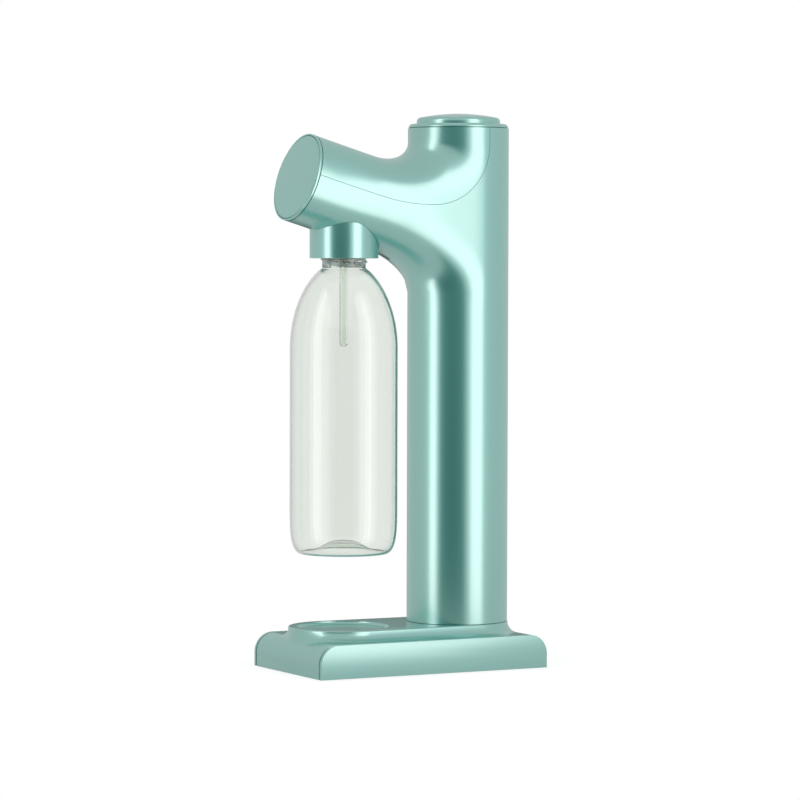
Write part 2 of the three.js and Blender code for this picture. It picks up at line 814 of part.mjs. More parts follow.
// Head shells, with the collar's hole and the vent slot cut from the lower one
const ventCentre = bottleY + collarRadius + ventBehindCollar;
const ventSlot = (slack) => solid(block(
  -ventWidth / 2 - slack, ventWidth / 2 + slack,
  ventCentre - ventLength / 2 - slack, ventCentre + ventLength / 2 + slack,
  collarBottom - overrun, mouthHeight,
));
const collarTop = collarBottom + collarInsert;
const wholeShell = solid(mainShell());
const collarHole = solid(post(collarRadius + gap, collarBottom - overrun, collarTop + gap, 0, bottleY, fine));
piece('main_body', geometryOf(wholeShell.subtract(collarHole).subtract(ventSlot(gap))), pearl());
piece('vent_insert', geometryOf(wholeShell.intersect(ventSlot(0))), darkPlastic());
piece('upper_cover', upperCover(), pearl());

// End of the arm: a trim ring and a flush cap, built on the arm's own line
const armEnd = new THREE.Group();
armEnd.position.copy(armRoot);
armEnd.rotation.x = Math.PI / 2 - tilt;
group.add(armEnd);
const endFace = armLength;
const endBack = armLength - endRingThickness;
const ringBore = armRadius - endRingWidth;
piece('arm_end_ring', turned([
  [ringBore, endBack], [armRadius, endBack], [armRadius, endFace - endBevel],
  [armRadius - endBevel / 3, endFace - endBevel / 3], [armRadius - endBevel, endFace], [ringBore, endFace],
  [ringBore, endBack],
], 0, 0), pearl(), armEnd);
const capRadius = ringBore - endCapFaceGap;
const spigotRadius = armRadius - shellWall - liningGap;
piece('arm_end_cap', turned([
  [0, endBack - overrun], [spigotRadius - shellWall, endBack - overrun], [spigotRadius, endBack - overrun],
  [spigotRadius, endBack], [capRadius, endBack], [capRadius, endFace], [0, endFace],
], 0, 0), pearl(), armEnd);

// Top ring, button and its guide
const ringFoot = columnTop + gap / 2;
const ringTop = columnTop + topRingHeight;
const buttonBore = buttonRadius + runningGap;
piece('top_ring', turned([
  [buttonBore, ringFoot], [topRingRadius, ringFoot], [topRingRadius, ringTop - topRingShoulder],
  [topRingRadius - topRingShoulder / 3, ringTop - topRingShoulder / 3],
  [topRingRadius - topRingShoulder, ringTop], [buttonBore, ringTop], [buttonBore, ringFoot],
], 0, columnY), pearl());

const buttonTop = ringTop + buttonProud;
const buttonEdge = buttonTop - buttonCrown;
const buttonInside = buttonEdge - buttonWall;
const skirtFoot = ringTop - buttonSkirt;
const guideTop = ringFoot - gap * 2;
const guideFoot = guideTop - guideDepth;
const stemY = columnY + leverPivotReach - leverStemReach;
const carrierTop = cylinderNeckTop + valveHeight - carrierDrop;
const headRoof = cylinderNeckTop + gap + valveHeight + gap * 2 + sealThickness;
const headTop = headRoof + valveHeadRoof;
const pivotHeight = headTop + pivotRise;
const leverFoot = pivotHeight - leverThickness / 2;
const leverTop = leverFoot + leverThickness;

function button() {
  const rounding = evenly(4, 0, Math.PI / 2).map((angle) => [
    buttonRadius - buttonRound * (1 - Math.cos(angle)),
    buttonEdge - buttonRound * (1 - Math.sin(angle)),
  ]);
  const dome = evenly(4, 1, 0).slice(1).map((share) => [
    (buttonRadius - buttonRound) * share,
    buttonTop - buttonCrown * share ** 2,
  ]);
  const cap = turned([
    [0, buttonInside], [buttonRadius - buttonWall, buttonInside - buttonWall],
    [buttonRadius - buttonWall, skirtFoot], [buttonRadius, skirtFoot], ...rounding, ...dome,
  ], 0, columnY);
  const guidePost = post(postRadius, guideFoot + guideFloor - gap, buttonInside + gap, 0, columnY);
  const nose = leverTop + runningGap;
  const stem = turned([
    [0, nose], [noseRadius, nose], [stemRadius, nose + noseDrop], [stemRadius, buttonInside],
    [0, buttonInside],
  ], 0, stemY, small);
  return carved([cap, guidePost, stem].map(solid));
}

function buttonGuide() {
  const joins = [
    ring(buttonBore, liningRadius, guideFoot, guideTop, 0, columnY, fine),
    post(buttonBore + gap, guideFoot, guideFoot + guideFloor, 0, columnY, fine),
  ];
  const cuts = [
    post(postRadius + runningGap, guideFoot - overrun, guideTop, 0, columnY),
    post(stemRadius + runningGap, guideFoot - overrun, guideTop, 0, stemY, small),
  ];
  return carved(joins.map(solid), cuts.map(solid));
}

// The least distance between turns of a wire, less its thickness, measured along its path
function leastGap(path, wire) {
  const apart = path.flatMap((from, k) => path.slice(k + turnSteps - 2).map((to) => from.distanceTo(to)));
  return Math.min(...apart) - wire * 2;
}

// One unbroken wire wound round the button's post, with a straight tail at each end
function wound(radius, wire, turns, low, high, x, y) {
  const steps = turns * turnSteps;
  const path = evenly(steps, 0, turns * Math.PI * 2).map((angle, k) => new THREE.Vector3(
    x + radius * Math.cos(angle),
    y + radius * Math.sin(angle),
    THREE.MathUtils.lerp(low + wire, high - wire, k / steps),
  ));
  console.log('least gap of the spring to itself, mm:', leastGap(path, wire).toFixed(2));
  const first = path[0].clone().addScaledVector(forward, springTail);
  const last = path[steps].clone().addScaledVector(forward, -springTail);
  const rings = [first, ...path, last].map((centre, k) => {
    const angle = (THREE.MathUtils.clamp(k - 1, 0, steps) * Math.PI * 2) / turnSteps;
    const outward = new THREE.Vector3(Math.cos(angle), Math.sin(angle), 0);
    return evenly(wireSides, 0, Math.PI * 2).slice(0, -1).map((around) => new THREE.Vector3()
      .copy(centre).addScaledVector(outward, wire * Math.cos(around))
      .add(new THREE.Vector3(0, 0, wire * Math.sin(around))));
  });
  return lofted(rings);
}

piece('button_guide', buttonGuide(), palePlastic());
piece('carbonation_button', button(), pearl());
const springFoot = guideFoot + guideFloor + gap;
const springTop = buttonInside - buttonWall / 2 - gap;
piece('button_spring', wound(
  springRadius, springWire, springTurns, springFoot, springTop, 0, columnY,
), steel());

// Lever, its bracket and pivot pin
const pivotY = columnY + leverPivotReach;
const pivotFrom = new THREE.Vector3(-earReach - earThickness - gap, pivotY, pivotHeight);
const pivotTo = new THREE.Vector3(earReach + earThickness + gap, pivotY, pivotHeight);
const bracketFoot = headTop + gap;
const pivotHole = solid(bar(
  pivotRadius + gap,
  pivotFrom.clone().addScaledVector(sideways, -overrun),
  pivotTo.clone().addScaledVector(sideways, overrun),
));
const earHalf = earReach + earThickness;
const bracketTop = bracketFoot + bracketThickness;
const bracketJoins = [
  block(-earHalf, earHalf, pivotY - bracketFront, pivotY + earReach, bracketFoot, bracketTop),
  block(-earHalf, -earReach, pivotY - earReach, pivotY + earReach, bracketFoot, pivotHeight + earReach),
  block(earReach, earHalf, pivotY - earReach, pivotY + earReach, bracketFoot, pivotHeight + earReach),
];
piece('lever_bracket', carved(bracketJoins.map(solid), [pivotHole]), steel());
piece('lever_pivot_pin', bar(pivotRadius, pivotFrom, pivotTo), steel());
const leverOutline = [
  [pivotY + leverThickness / 2, leverFoot], [pivotY + leverThickness / 2, leverTop],
  [stemY - stemRadius, leverTop], [stemY - stemRadius, pivotHeight], [stemY, leverFoot],
];
piece('actuating_lever', carved(
  [solid(sidePrism(leverOutline, -leverWidth / 2, leverWidth / 2))], [pivotHole],
), steel());

// Valve head: the block that the gas cylinder screws into
const valveFoot = cylinderNeckTop + gap;
const valveTop = valveFoot + valveHeight;
const headFoot = valveTop - valveHeadSkirt;
const plungerFoot = valveTop + gap / 2;
const plungerTop = leverFoot - runningGap;
piece('valve_head', turned([
  [valveRadius + runningGap, headFoot], [valveHeadRadius, headFoot], [valveHeadRadius, carrierTop + gap],
  [headFlangeRadius, carrierTop + gap], [headFlangeRadius, carrierTop + gap + headFlangeThickness],
  [valveHeadRadius, carrierTop + gap + headFlangeThickness], [valveHeadRadius, headTop],
  [plungerRadius + runningGap, headTop], [plungerRadius + runningGap, headRoof],
  [valveRadius + runningGap, headRoof], [valveRadius + runningGap, headFoot],
], 0, columnY, coarse), brass());
piece('head_seal', ring(
  plungerRadius + runningGap, valveRadius, headRoof - gap - sealThickness, headRoof - gap, 0, columnY, coarse,
), rubber());
piece('valve_carrier', ring(
  valveHeadRadius + gap, liningRadius, carrierTop - carrierThickness, carrierTop, 0, columnY,
), darkPlastic());
piece('plunger', turned([
  [0, plungerFoot], [plungerRadius, plungerFoot], [plungerRadius, plungerTop - noseDrop],
  [noseRadius, plungerTop], [0, plungerTop],
], 0, columnY, small), steel());

// Gas cylinder, its valve and the ring that steadies it
const shoulderArc = evenly(6, 0, Math.PI / 2).map((angle) => [
  cylinderNeckRadius + (cylinderRadius - cylinderNeckRadius) * Math.cos(angle),
  cylinderShoulder + (cylinderNeckTop - valveStemLength + gap - cylinderShoulder) * Math.sin(angle),
]);
const neckBore = valveStemRadius + gap;
const insideArc = shoulderArc.map(([radius, height]) => [
  Math.max(radius - cylinderWall, neckBore), height - cylinderWall,
]);
piece('co2_cylinder', turned([
  [0, cylinderFloor + cylinderWall], [cylinderRadius / 2, cylinderFloor + cylinderWall / 2],
  [cylinderRadius * 2 / 3, cylinderFloor], [cylinderRadius - cylinderWall, cylinderFloor],
  [cylinderRadius, cylinderFloor + cylinderWall * 2], ...shoulderArc, [cylinderNeckRadius, cylinderNeckTop],
  [neckBore, cylinderNeckTop], ...insideArc.reverse(),
  [cylinderRadius - cylinderWall, cylinderFloor + cylinderWall * 3],
  [cylinderRadius * 2 / 3, cylinderFloor + cylinderWall * 2], [0, cylinderFloor + cylinderWall * 3],
], 0, columnY, coarse), cylinderPaint());
const pinBore = valvePinRadius + runningGap;
const stemFoot = cylinderNeckTop - valveStemLength + cylinderWall;
const wellRadius = plungerRadius + runningGap;
const wellFloor = valveTop - gap - counterboreDepth;
const pinTop = valveTop - gap;
piece('cylinder_valve', turned([
  [pinBore, stemFoot], [valveStemRadius, stemFoot], [valveStemRadius, valveFoot],
  [cylinderNeckRadius, valveFoot], [cylinderNeckRadius, valveFoot + cylinderWall],
  [valveRadius, valveFoot + cylinderWall], [valveRadius, valveTop - gap], [wellRadius, valveTop - gap],
  [wellRadius, wellFloor], [pinBore, wellFloor], [pinBore, stemFoot],
], 0, columnY, coarse), brass());
piece('valve_pin', post(valvePinRadius, valveFoot, pinTop, 0, columnY, small), steel());
piece('cylinder_guide', ring(
  passageRadius, liningRadius, guideHeight, guideHeight + guideRingHeight, 0, columnY,
), darkPlastic());

// Bottle socket and nozzle
const collarBore = collarRadius - collarWall;
piece('bottle_collar', turned([
  [collarBore, collarBottom], [collarRadius - collarLip, collarBottom],
  [collarRadius, collarBottom + collarLip],
  [collarRadius, collarTop], [collarBore, collarTop], [collarBore, collarBottom],
], 0, bottleY), pearl());
const gasketFoot = mouthHeight + gap;
const nozzleFoot = gasketFoot + gasketThickness + gap * 2;
const socketTop = nozzleFoot - gap;
const socketFoot = collarBottom + socketInset;
piece('bottle_socket', turned([
  [socketBoreRadius + socketInset, socketFoot], [collarBore - gap, socketFoot], [collarBore - gap, socketTop],
  [socketBoreRadius, socketTop], [socketBoreRadius, socketFoot + socketInset * 2],
  [socketBoreRadius + socketInset, socketFoot],
], 0, bottleY, coarse), palePlastic());
piece('bottle_gasket', ring(
  tubeRadius + gap, socketBoreRadius - gap, gasketFoot, gasketFoot + gasketThickness, 0, bottleY,
), rubber());
const tubeFoot = nozzleTipHeight + nozzleTipLength + gap;
piece('carbonation_tube', ring(
  tubeBore, tubeRadius, tubeFoot, nozzleFoot - gap, 0, bottleY, small,
), palePlastic());
const tipTaper = tubeRadius * 2 / 3;
piece('nozzle_tip', turned([
  [tubeBore, nozzleTipHeight + nozzleTipLength], [tubeBore, nozzleTipHeight + tubeBore],
  [tubeBore / 2, nozzleTipHeight], [tipTaper, nozzleTipHeight], [tubeRadius, nozzleTipHeight + tipTaper],
  [tubeRadius, nozzleTipHeight + nozzleTipLength], [tubeBore, nozzleTipHeight + nozzleTipLength],
], 0, bottleY, small), palePlastic());
const nozzleTop = nozzleFoot + nozzleBlockHeight;
const nozzleFlangeFoot = nozzleFoot + nozzleFlangeRise;
const nozzleFlangeTop = nozzleFlangeFoot + nozzleFlangeThickness;
piece('nozzle_block', turned([
  [0, nozzleFoot], [nozzleBlockRadius, nozzleFoot], [nozzleBlockRadius, nozzleFlangeFoot],
  [nozzleFlangeRadius, nozzleFlangeFoot], [nozzleFlangeRadius, nozzleFlangeTop],
  [nozzleBlockRadius, nozzleFlangeTop], [nozzleBlockRadius, nozzleTop], [0, nozzleTop],
], 0, bottleY, coarse), darkPlastic());
const nozzlePlateTop = nozzleFlangeFoot - gap;
const liningEnd = armPoint(armLength - endRingThickness - overrun * 2, 0);
const armLining = solid(bar(spigotRadius, armRoot, liningEnd, fine));
const nozzlePlate = solid(block(
  -armRadius, armRadius, bottleY - nozzlePlateHalfLength, bottleY + nozzlePlateHalfLength,
  nozzlePlateTop - nozzlePlateThickness, nozzlePlateTop,
)).intersect(armLining);
piece('nozzle_bracket', geometryOf(
  nozzlePlate.subtract(solid(post(nozzleBlockRadius + gap, 0, nozzleTop, 0, bottleY, fine))),
), steel());
const reliefFoot = nozzleTop + gap;
const reliefStep = nozzleTop + reliefHeight;
const reliefTop = reliefStep + reliefCapHeight;
piece('safety_valve', turned([
  [0, reliefFoot], [reliefRadius, reliefFoot], [reliefRadius, reliefStep],
  [reliefCapRadius, reliefStep], [reliefCapRadius, reliefTop], [0, reliefTop],
], reliefOffset, bottleY, small), brass());

// Gas hose between the valve head and the nozzle block
const inletY = columnY - valveHeadRadius - gap;
const outletY = bottleY + nozzleBlockRadius + gap;
const inletHeight = headRoof + inletRise;
const outletHeight = nozzleFoot + outletRise;
const inletFrom = new THREE.Vector3(0, inletY, inletHeight);
const inletTo = new THREE.Vector3(0, inletY - fittingLength, inletHeight);
const outletFrom = new THREE.Vector3(0, outletY, outletHeight);
const outletTo = new THREE.Vector3(0, outletY + fittingLength, outletHeight);
piece('hose_inlet_fitting', bar(fittingRadius, inletFrom, inletTo), brass());
piece('hose_outlet_fitting', bar(fittingRadius, outletFrom, outletTo), brass());
const hoseStart = inletTo.clone().addScaledVector(forward, gap);
const hoseEnd = outletTo.clone().addScaledVector(forward, -gap);
const hosePath = new THREE.CubicBezierCurve3(
  hoseStart,
  hoseStart.clone().addScaledVector(forward, hoseEase),
  hoseEnd.clone().addScaledVector(forward, -hoseEase),
  hoseEnd,
);
const hoseSection = new THREE.Shape(evenly(small, 0, Math.PI * 2).slice(0, -1).map(
  (angle) => new THREE.Vector2(hoseRadius * Math.cos(angle), hoseRadius * Math.sin(angle)),
));
piece('gas_hose', new THREE.ExtrudeGeometry(hoseSection, {
  extrudePath: hosePath,
  steps: small,
  bevelEnabled: false,
}), rubber());

// Bottle: heel, straight side, domed shoulder and a threaded neck, with its own inside
function bottleProfile(inset) {
  const radius = bottleRadius - inset;
  const floor = bottleBottom + inset;
  const heelTop = bottleBottom + bottleHeelHeight;
  const domeFoot = bottleShoulder - bottleShoulderHeight;
  const neck = bottleNeckRadius - inset * (neckWall / bottleWall);
  const heel = new THREE.CubicBezierCurve(
    new THREE.Vector2(bottleFootRadius, floor),
    new THREE.Vector2(THREE.MathUtils.lerp(bottleFootRadius, radius, heelReachShare), floor),
    new THREE.Vector2(radius, THREE.MathUtils.lerp(floor, heelTop, 1 / 3)),
    new THREE.Vector2(radius, heelTop),
  );
  const dome = new THREE.CubicBezierCurve(
    new THREE.Vector2(radius, domeFoot),
    new THREE.Vector2(radius, domeFoot + bottleShoulderHeight * domeRiseShare),
    new THREE.Vector2(THREE.MathUtils.lerp(neck, radius, domeDrawShare), bottleShoulder - domeEase),
    new THREE.Vector2(neck, bottleShoulder - inset),
  );
  return [
    [0, floor + puntHeight],
    ...puntShares.map(([out, up]) => [bottleFootRadius * out, floor + puntHeight * up]),
    ...heel.getPoints(4).map((p) => [p.x, p.y]),
    ...dome.getPoints(7).map((p) => [p.x, p.y]),
  ];
}

function bottle() {
  const crest = bottleNeckRadius + threadHeight;
  const step = threadPitch / 5;
  const threads = [1, 2, 3].flatMap((k) => {
    const foot = bottleShoulder + threadPitch * k;
    return [
      [bottleNeckRadius, foot],
      [crest, foot + step],
      [crest, foot + step * 2],
      [bottleNeckRadius, foot + step * 3],
    ];
  });
  return turned([
    ...bottleProfile(0),
    ...threads,
    [bottleNeckRadius, mouthHeight],
    [bottleNeckRadius - neckWall, mouthHeight],
    ...bottleProfile(bottleWall).reverse(),
  ], 0, bottleY);
}

piece('bottle', bottle(), clear());

// The origin lies under the middle of the whole object's box
group.updateMatrixWorld(true);
const box = new THREE.Box3().setFromObject(group);
const middle = box.getCenter(new THREE.Vector3());
group.position.set(-middle.x, -middle.y, -box.min.z);

export default group;
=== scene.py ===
"""The looks of a countertop sparkling water maker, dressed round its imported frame.

Metres, +Z up. The bottle side faces -Y, and the arm leans forward and up from the column.
"""

import json
import math

import bmesh
import bpy
import numpy as np
from mathutils import Matrix, Vector


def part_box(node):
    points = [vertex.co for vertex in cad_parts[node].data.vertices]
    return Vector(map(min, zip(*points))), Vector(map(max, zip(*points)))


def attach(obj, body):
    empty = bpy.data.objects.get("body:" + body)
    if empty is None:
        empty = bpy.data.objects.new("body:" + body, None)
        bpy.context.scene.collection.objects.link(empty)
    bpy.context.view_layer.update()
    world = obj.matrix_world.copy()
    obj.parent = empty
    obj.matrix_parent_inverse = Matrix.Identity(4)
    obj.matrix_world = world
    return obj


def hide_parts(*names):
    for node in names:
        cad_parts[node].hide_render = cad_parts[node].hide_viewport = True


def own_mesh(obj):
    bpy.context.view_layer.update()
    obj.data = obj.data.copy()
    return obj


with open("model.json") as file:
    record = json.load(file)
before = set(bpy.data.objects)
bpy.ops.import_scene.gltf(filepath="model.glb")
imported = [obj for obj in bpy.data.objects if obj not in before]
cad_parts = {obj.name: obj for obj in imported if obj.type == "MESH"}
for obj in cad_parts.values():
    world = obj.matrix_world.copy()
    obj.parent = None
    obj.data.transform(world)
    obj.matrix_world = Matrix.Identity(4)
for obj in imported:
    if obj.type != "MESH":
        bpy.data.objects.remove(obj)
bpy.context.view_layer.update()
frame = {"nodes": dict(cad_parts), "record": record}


def low(node):
    """The lowest corner of a CAD node."""
    return Vector(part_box(node)[0])


def high(node):
    """The highest corner of a CAD node."""
    return Vector(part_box(node)[1])


def middle(node):
    """The middle of a CAD node's box."""
    return (low(node) + high(node)) / 2


# Places and sizes taken from the frame
COLUMN_Y = middle("top_ring").y
BOTTLE_Y = middle("drip_plate").y
COLUMN_RADIUS = high("main_body").x
COLUMN_FOOT = low("main_body").z
SHELL_TOP = high("main_body").z
PLATFORM_TOP = high("base_body").z
DECK_TOP = high("base_side_plate_left").z
BASE_FOOT = low("base_body").z
BASE_HALF_WIDTH = high("base_body").x
BASE_FRONT = low("base_body").y
BASE_BACK = high("base_body").y
DRIP_TOP = high("drip_plate").z
DRIP_FOOT = low("drip_plate").z
DRIP_RADIUS = high("drip_plate").x
COLLAR_RADIUS = high("bottle_collar").x
COLLAR_FOOT = low("bottle_collar").z
COLLAR_TOP = high("bottle_collar").z
BOTTLE_RADIUS = high("bottle").x
BOTTLE_FOOT = low("bottle").z
MOUTH_HEIGHT = high("bottle").z
BUTTON_RADIUS = high("carbonation_button").x
BUTTON_TOP = high("carbonation_button").z
TOP_RING_RADIUS = high("top_ring").x
CYLINDER_RADIUS = high("co2_cylinder").x

# Fits, walls and the smallest lengths
GAP = 0.0003
RUNNING_GAP = 0.0004
SHELL_WALL = 0.0025
OVERRUN = 0.005
ON_AXIS = 1e-7
SAME_POINT = 1e-6
TINY = 1e-12

# Head: arm, blends and parting line
ARM_TILT = math.radians(16.7)
ARM_REACH = 0.1358
ARM_END_HEIGHT = 0.3666
ARM_RADIUS = 0.0333
ROUNDING_SETTLES = 0.080
WIDTH_SETTLES = 0.115
UPPER_BLEND = (0.0283, 0.0173)
LOWER_BLEND = (0.0596, 0.0289)
SEAM_RISE = 0.0017
SEAM_BEND_RADIUS = 0.046
SEAM_BEHIND_AXIS = 0.0061
SEAM_LOWEST = 0.3466
SEAM_LEAVE_REACH = 0.097
SEAM_EASING = 0.022
END_RING_THICKNESS = 0.0022
END_RING_WIDTH = 0.0013
END_CAP_GAP = 0.00035
END_BEVEL = 0.0008
VENT_REACH = 0.0627
VENT_LENGTH = 0.009
VENT_WIDTH = 0.0032

# Shading: edges over the first two angles stay sharp, and faces within the next two follow
# their form. The head's shading is evened out over a reach, at these shares of it.
SHARP_DEGREES = 32
SHARP_DEGREES_ROUND = 60
HEAD_FOLLOWS = 25.0
BASE_FOLLOWS = 60.0
NORMAL_EASE = 0.009
EASE_SHARES = (0.25, 0.5, 0.75, 1.0)

# Base
BASE_CORNER_RADIUS = 0.0145
PLATFORM_EDGE = 0.001
PLATFORM_FILLET = 0.009
PLATFORM_FRONT_RADIUS = 0.041
PLATFORM_REAR_RADIUS = 0.0384
LEAST_BETWEEN_SLOPES = 1e-6
SIDE_GROOVE_WIDTH = 0.001
SIDE_GROOVE_DEPTH = 0.0012
SIDE_EDGE = 0.0004
SIDE_EDGE_MIDDLE = 0.3
BASE_WALL = 0.0032
RECESS_RIM_RADIUS = 0.0345
POCKET_RADIUS = 0.026
POCKET_DEPTH = 0.0048
DRIP_EDGE = 0.0004

# Top ring, button and collar
TOP_RING_SHOULDER = 0.0016
BUTTON_ROUND = 0.0032
BUTTON_CROWN = 0.0028
BUTTON_WALL = 0.0022
BUTTON_SKIRT = 0.009
POST_RADIUS = 0.0045
POST_ABOVE_GUIDE = 0.0022
STEM_RADIUS = 0.003
STEM_TIP_RADIUS = 0.0012
STEM_TIP_LENGTH = 0.0008
STEM_AHEAD_OF_PIVOT = 0.034
SPRING_RADIUS = 0.0084
SPRING_WIRE = 0.0008
SPRING_TAIL = 0.0016
SPRING_TURNS = 6
COLLAR_WALL = 0.0027
COLLAR_EDGE = 0.0006

# Bottle
BOTTLE_FOOT_RADIUS = 0.030
BOTTLE_HEEL_HEIGHT = 0.031
BOTTLE_DOME_HEIGHT = 0.060
BOTTLE_SHOULDER = 0.2995
BOTTLE_NECK_RADIUS = 0.0162
BOTTLE_WALL = 0.0012
NECK_WALL = 0.0019
PUNT_HEIGHT = 0.009
PUNT_SHARES = ((0.33, 0.86), (0.67, 0.25))
HEEL_REACH_SHARE = 0.8
DOME_RISE_SHARE = 0.52
DOME_DRAW_SHARE = 0.44
DOME_EASE = 0.0075
THREAD_HEIGHT = 0.0012
THREAD_PITCH = 0.004
THREAD_TURNS = 3.4
THREAD_END_STEEPNESS = 6
THREAD_CREST = 0.12
THREAD_ROOT = 0.3

# Steps round arcs and along lines
FINE = 128
HALF_ROUND = 72
ROWS = 28
BACK_ROWS = 16
TOP_ROWS = 4
BISECTIONS = 36
EDGE_STEPS = 5
ARC_STEPS = 10
VENT_STEPS = 12
WIRE_SIDES = 10
STEM_SIDES = 32
HOLE_SIDES = 24
BASE_END_STEPS = 48
FILLET_STEPS = 18
PLATFORM_EDGE_STEPS = 8
PLATFORM_REAR_STEPS = 64
PLATFORM_FRONT_STEPS = 72
PUNT_STEPS = 8
HEEL_STEPS = 20
DOME_STEPS = 32
NECK_STEPS = 48

# The longest share of a side that a rounded corner takes
CORNER_SHARE = 0.45

# Camera
AIM_Y = 0.000146
AIM_HEIGHT = 0.200733
VIEW_AZIMUTH = math.radians(61.863)
VIEW_PITCH = math.radians(2.398)
VIEW_ROLL = math.radians(0.155)
VIEW_DISTANCE = 2.79986
LENS_MM = 168.343
SENSOR_MM = 36

# Light
WHITE = (1, 1, 1, 1)
BLACK = (0, 0, 0, 1)
LIGHT_DISTANCE = 1.9
LIGHT_HEIGHT = 0.4
FLOOR_COLOUR = (0.35, 0.35, 0.35, 1)
FLOOR_GLOW = 0.8
FLOOR_RADIUS = 0.45
FLOOR_FADES = 0.17
FLOOR_IN_METAL = 0.5
WORLD_LIGHT = 0.5
WORLD_IN_METAL = 0.3
CARD_DISTANCE = 1.75
CARD_FOOT = -1.5

# Materials
BUMP_DEPTH = 0.0001
CLEAR_NODES = {"carbonation_tube": "clear_tube", "nozzle_tip": "clear_tube"}


def direction(azimuth, pitch=0.0):
    """The way from the object towards a viewer at that azimuth and pitch."""
    level = math.cos(pitch)
    return Vector((math.sin(azimuth) * level, -math.cos(azimuth) * level, math.sin(pitch)))


def make_camera():
    """The camera at the photograph's place, with its small roll."""
    back = direction(VIEW_AZIMUTH, VIEW_PITCH)
    right = (-back).cross(Vector((0, 0, 1))).normalized()
    up = right.cross(-back)
    sideways = right * math.cos(VIEW_ROLL) + up * math.sin(VIEW_ROLL)
    upward = up * math.cos(VIEW_ROLL) - right * math.sin(VIEW_ROLL)
    data = bpy.data.cameras.new("camera")
    data.lens = LENS_MM
    data.sensor_width = SENSOR_MM
    camera = bpy.data.objects.new("camera", data)
    bpy.context.scene.collection.objects.link(camera)
    turn = Matrix((sideways, upward, back)).transposed().to_4x4()
    aim = Vector((0, AIM_Y, AIM_HEIGHT))
    camera.matrix_world = Matrix.Translation(aim + back * VIEW_DISTANCE) @ turn
    bpy.context.scene.camera = camera


# Mesh tools


def mesh_object(name, points, faces):
    """A new object from points and faces."""
    mesh = bpy.data.meshes.new(name)
    mesh.from_pydata([tuple(map(float, p)) for p in points], [], [tuple(map(int, f)) for f in faces])
    mesh.validate()
    made = bpy.data.objects.new(name, mesh)
    bpy.context.scene.collection.objects.link(made)
    return made


def smooth(piece, degrees=SHARP_DEGREES):
    """Shades a piece smooth, with its edges over an angle kept sharp."""
    piece.data.shade_smooth()
    piece.data.set_sharp_from_angle(angle=math.radians(degrees))
    return piece


def settle(piece):
    """Makes a piece's modifiers part of its mesh."""
    bpy.context.view_layer.update()
    seen = piece.evaluated_get(bpy.context.evaluated_depsgraph_get())
    mesh = bpy.data.meshes.new_from_object(seen)
    piece.modifiers.clear()
    piece.data = mesh


def join_or_cut(body, tools, operation):
    """Joins other solids to a body, or cuts them from it, and removes the tools."""
    for tool in tools:
        change = body.modifiers.new(operation.lower(), "BOOLEAN")
        change.operation = operation
        change.solver = "EXACT"
        change.object = tool
        settle(body)
        bpy.data.objects.remove(tool)
    return body


def mix(a, b, share):
    """A value a share of the way from a to b."""
    return a + (b - a) * share


def evenly(count, start, end):
    """Count + 1 values from start to end."""
    return np.linspace(start, end, count + 1)


def cubic_weights(t):
    """The shares of a cubic curve's four points."""
    return [(1 - t) ** 3, 3 * t * (1 - t) ** 2, 3 * t**2 * (1 - t), t**3]


def band(bore, radius, foot, top):
    """The (radius, height) outline of a plain ring, or of a disc where the bore is 0."""
    return [(bore, foot), (radius, foot), (radius, top), (bore, top)]


def rounded(outline, radius):
    """An outline of (radius, height) points whose corners off the axis are rounded."""
    made = []
    for k, corner in enumerate(outline):
        here = np.array(corner, float)
        before = np.array(outline[k - 1], float)
        after = np.array(outline[(k + 1) % len(outline)], float)
        lengths = [np.linalg.norm(before - here), np.linalg.norm(after - here)]
        ease = min(radius, *(CORNER_SHARE * length for length in lengths))
        if here[0] < GAP or ease <= 0:
            made.append(tuple(here))
            continue
        first = here + (before - here) / lengths[0] * ease
        last = here + (after - here) / lengths[1] * ease
        for t in evenly(EDGE_STEPS, 0, 1):
            made.append(tuple(first * (1 - t) ** 2 + here * 2 * t * (1 - t) + last * t**2))
    return made


def turned(name, outline, y, closed=False, sides=FINE):
    """A round piece about a vertical line at x 0: the outline is (radius, height) points."""
    points, rings = [], []
    for radius, height in outline:
        if radius < ON_AXIS:
            rings.append([len(points)])
            points.append((0, y, height))
            continue
        rings.append(list(range(len(points), len(points) + sides)))
        for k in range(sides):
            angle = 2 * math.pi * k / sides
            points.append((radius * math.cos(angle), y + radius * math.sin(angle), height))
    faces = []
    following = rings[1:] + rings[:1] if closed else rings[1:]
    for a, b in zip(rings, following):
        for k in range(sides):
            n = (k + 1) % sides
            if len(a) == 1 and len(b) == 1:
                continue
            if len(a) == 1:
                faces.append((a[0], b[n], b[k]))
            elif len(b) == 1:
                faces.append((a[k], a[n], b[0]))
            else:
                faces.append((a[k], a[n], b[n], b[k]))
    return faced_out(mesh_object(name, points, faces))


def lofted(name, rings):
    """Closed rings of equally many points, stacked and capped."""
    count = len(rings[0])
    points = [p for ring in rings for p in ring]
    faces = []
    for level in range(len(rings) - 1):
        for k in range(count):
            n = (k + 1) % count
            a, b = level * count, (level + 1) * count
            faces.append((a + k, a + n, b + n, b + k))
    last = (len(rings) - 1) * count
    faces.append(tuple(range(count))[::-1])
    faces.append(tuple(range(last, last + count)))
    return faced_out(mesh_object(name, points, faces))


def joined_doubles(piece):
    """Merges points that lie on one another."""
    work = bmesh.new()
    work.from_mesh(piece.data)
    bmesh.ops.remove_doubles(work, verts=work.verts, dist=SAME_POINT)
    work.to_mesh(piece.data)
    work.free()
    return faced_out(piece)


